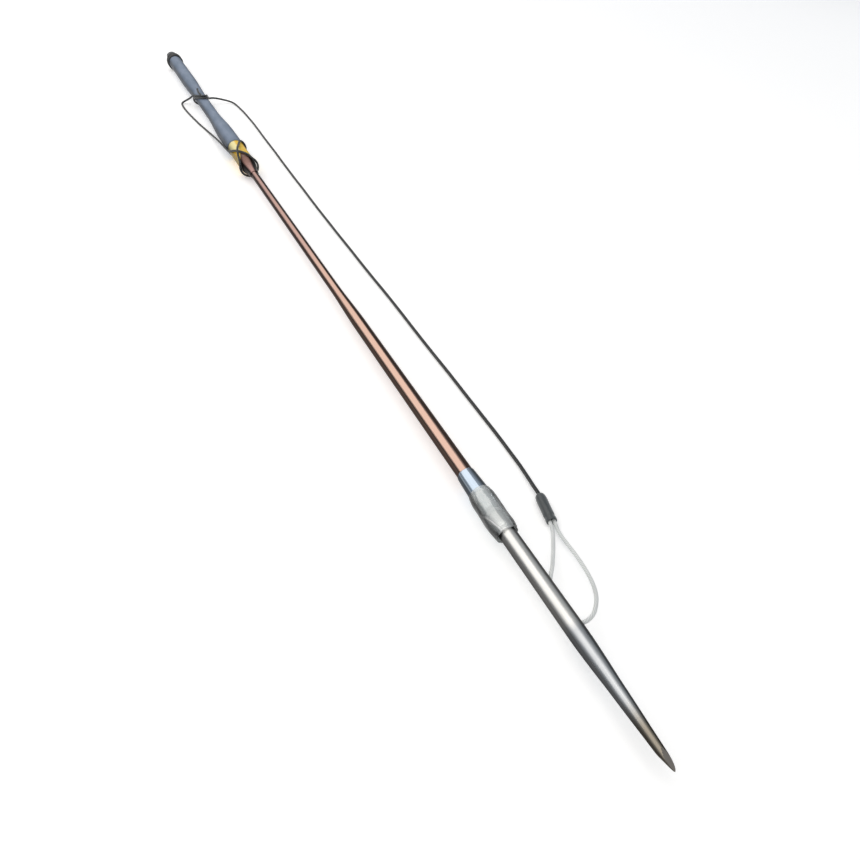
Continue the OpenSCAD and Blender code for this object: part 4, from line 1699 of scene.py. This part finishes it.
@dataclass
class Pole:
    """The pole's grip sleeve, its rubber butt ring and its butt plug.

    Args:
        sleeve_at: Station of the sleeve's front.
        sleeve_end: Station of its rear.
        front_r: Radius of its thick front.
        waist_r: Radius of its waist.
        rear_r: Radius of its rear.
        barrel: Length of the thick front, in millimetres.
        neck: Length of the neck behind it.
        waist: Length of the waist.
        flare: Length of the widening behind the waist.
        core_r: Radius of the bore over the core tube.
        ring_end: Station of the butt ring's rear.
        ring_r: Radius of the butt ring.
        grooves: Distances of its grooves from its front.
        plug_bevel: Width of the rounding on the butt plug's edges.
    """

    sleeve_at: float = 760.0
    sleeve_end: float = 1180.0
    front_r: float = 9.7
    waist_r: float = 7.3
    rear_r: float = 9.5
    barrel: float = 50.0
    neck: float = 80.0
    waist: float = 64.0
    flare: float = 115.0
    core_r: float = 6.64
    ring_end: float = 1196.0
    ring_r: float = 11.5
    grooves: tuple[float, ...] = (5.0, 8.0, 11.0)
    plug_bevel: float = 0.25

    # Distance from an end of the butt ring, and how much smaller the radius is there.
    RING_EDGE = ((0, 2), (0.3, 1.2), (0.9, 0.5), (2, 0))
    # The same for a groove, from its middle.
    GROOVE = ((-0.7, 0), (-0.45, 0.3), (0, 0.45), (0.45, 0.3), (0.7, 0))

    def radius_at(self, distance: float) -> float:
        """Radius of the sleeve at a distance behind its front."""
        if distance < self.barrel + self.neck + self.waist:
            return mix(self.front_r, self.waist_r, ease((distance - self.barrel) / self.neck))
        behind = distance - self.barrel - self.neck - self.waist
        return mix(self.waist_r, self.rear_r, ease(behind / self.flare))

    def build_sleeve(self) -> None:
        """Moulds the grip sleeve."""
        front, rear = self.sleeve_at, self.sleeve_end
        outline = [(front, self.core_r), (front, self.front_r - 0.5),
                   (front + 0.15, self.front_r - 0.15), (front + 0.5, self.front_r)]
        outline += evenly(front, rear, 84, lambda share: self.radius_at((rear - front) * share))[:-1]
        outline += [(rear - 0.4, self.rear_r), (rear, self.rear_r - 0.4), (rear, self.core_r)]
        piece = turned("grip_sleeve", outline, Ends.RING)
        dress(piece, SLEEVE)
        settle(piece, Body.POLE, "sleeve_grey", "pole_sleeve")

    def build_ring(self) -> None:
        """Moulds the butt ring, with three shallow grooves round it."""
        front, rear = self.sleeve_end, self.ring_end
        outline = [(front, self.core_r)]
        outline += [(front + along, self.ring_r - less) for along, less in self.RING_EDGE]
        for groove in self.grooves:
            outline += [(front + groove + along, self.ring_r - less) for along, less in self.GROOVE]
        outline += [(rear - along, self.ring_r - less) for along, less in self.RING_EDGE[::-1]]
        outline += [(rear, self.core_r)]
        piece = turned("butt_ring_rubber", outline, Ends.RING, sides=120, sharp=50)
        dress(piece, BLACK)
        settle(piece, Body.POLE, "black_rubber", "butt_ring")

    def build_plug(self) -> None:
        """Rounds the edges of the butt plug."""
        piece = copy_solid("butt_plug", self.plug_bevel)
        dress(piece, BUTT)
        settle(piece, Body.POLE, "butt_alloy", "butt_plug")

    def build(self) -> None:
        """Makes the pole's outer pieces."""
        self.build_sleeve()
        self.build_ring()
        self.build_plug()


@dataclass
class Internals:
    """The pieces inside, whose CAD solids stay and get their finishes."""

    FINISHES = {"tip_adapter": ADAPTER, "spigot_ring": BLACK, "cushion_ring": SILICONE,
                "shaft_insert": INSERT, "rear_stud": INSERT, "pole_coupler": ALLOY,
                "coupler_pin": INSERT, "tube_seals": BLACK, "core_tube": CORE,
                "plug_pin": INSERT}

    def build(self) -> None:
        """Dresses each inner CAD solid."""
        for node, finish in self.FINISHES.items():
            dress(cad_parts[node], finish)
            LOG.info("%s: CAD solid with %s", node, finish.name)


# The studio


@dataclass(frozen=True)
class SoftBox:
    """A soft lamp with a rectangular face.

    Args:
        name: Its name.
        place: Its place, in metres.
        aim: The point that it faces.
        along: Direction of its long side.
        size: Its width and height.
        power: Its power, in watts.
        colour: Its colour.
    """

    name: str
    place: Point
    aim: Point
    along: Point
    size: tuple[float, float]
    power: float
    colour: str

    def hang(self) -> None:
        """Hangs the lamp."""
        light = bpy.data.lights.new(self.name, "AREA")
        light.shape = "RECTANGLE"
        light.size, light.size_y = self.size
        light.energy = self.power
        light.color = linear(self.colour)[:3]
        lamp = link_new(self.name, light)
        lamp.location = self.place
        back = (Vector(self.place) - Vector(self.aim)).normalized()
        across = Vector(self.along)
        across = (across - across.dot(back) * back).normalized()
        lamp.rotation_euler = Matrix((across, back.cross(across), back)).transposed().to_euler()


@dataclass
class Studio:
    """Pale floor, soft lamps, the sky and the camera of the photograph.

    Args:
        camera_at: Place of the camera, in metres.
        heading: Turn of the camera about Z, in degrees.
        pitch: Its tilt below the horizon, in degrees.
        focal: Focal length for a frame 36 mm wide, in millimetres.
        sky: Colour of the sky.
        sky_light: Strength of the sky.
        floor: Colour of the floor.
        floor_size: Width of the floor, in metres.
        floor_glow: White added to the floor where it is seen.
    """

    camera_at: Point = (0.6789, -0.1347, 0.2861)
    heading: float = 65.592
    pitch: float = 40.630
    focal: float = 29.302
    sky: str = "e4e8ec"
    sky_light: float = 0.5
    floor: str = "fafafa"
    floor_size: float = 16.0
    floor_glow: float = 0.3

    LAMPS = (
        SoftBox("key_box", (-2.4, -0.042, 1.2), (-2.4, 0.288, 0), (1, -0.36, 0), (5.2, 2), 27.5,
                "fffaf4"),
        SoftBox("near_box", (0.65, -0.3, 1.2), (0.65, -0.1, 0), (1, -0.1, 0), (1.2, 2), 6.4,
                "fffaf4"),
        SoftBox("side_strip", (-0.8, 1.5, 0.55), (-0.8, 0, 0), (1, 0, 0), (5, 0.12), 3, "f2f6ff"))

    def build_camera(self) -> None:
        """Sets the camera where the photograph was taken."""
        camera = bpy.data.cameras.new("camera")
        camera.lens = self.focal
        camera.sensor_width = 36
        camera.clip_start = 0.01
        camera.clip_end = 60
        view = link_new("camera", camera)
        view.location = self.camera_at
        view.rotation_euler = Euler((math.radians(90 - self.pitch), 0, math.radians(self.heading)))
        bpy.context.scene.camera = view

    def build_floor(self) -> None:
        """Lays the matt floor, which glows where the camera or a reflection sees it."""
        select_only()
        bpy.ops.mesh.primitive_plane_add(size=self.floor_size)
        floor = name_new("floor")
        graph = Graph("pale_floor")
        rays = graph.add("LightPath").outputs
        seen = graph.add("Math", [rays["Is Glossy Ray"], rays["Is Transmission Ray"]],
                         operation="MAXIMUM")
        seen = graph.add("Math", [rays["Is Camera Ray"], seen], operation="MAXIMUM")
        glow = graph.add("Math", [seen, self.floor_glow], operation="MULTIPLY")
        graph.shader = {"Base Color": linear(self.floor), "Roughness": 0.9,
                        "Specular IOR Level": 0.1, "Emission Color": (1, 1, 1, 1),
                        "Emission Strength": glow}
        floor.data.materials.append(graph.finish())

    def build_sky(self) -> None:
        """Fills in with a plain sky."""
        world = bpy.data.worlds.new("sky")
        world.use_nodes = True
        back = world.node_tree.nodes["Background"]
        back.inputs["Color"].default_value = linear(self.sky)
        back.inputs["Strength"].default_value = self.sky_light
        bpy.context.scene.world = world

    def build(self) -> None:
        """Sets up the floor and the light."""
        self.build_floor()
        self.build_sky()
        for lamp in self.LAMPS:
            lamp.hang()
        bpy.context.scene.view_settings.view_transform = "Standard"


def main() -> None:
    """Builds the camera, the cords and then each sub-assembly, and logs their sizes."""
    logging.basicConfig(level=logging.INFO, format="%(message)s")
    studio = Studio()
    studio.build_camera()
    pole = Pole()
    for part in (Line(pole), CableLoop(), SlipTip(), ClearWrap(), FrontShaft(), PoleFront(), pole,
                 Internals(), studio):
        part.build()
        LOG.info("%s built", type(part).__name__)


if __name__ == "__main__":
    main()
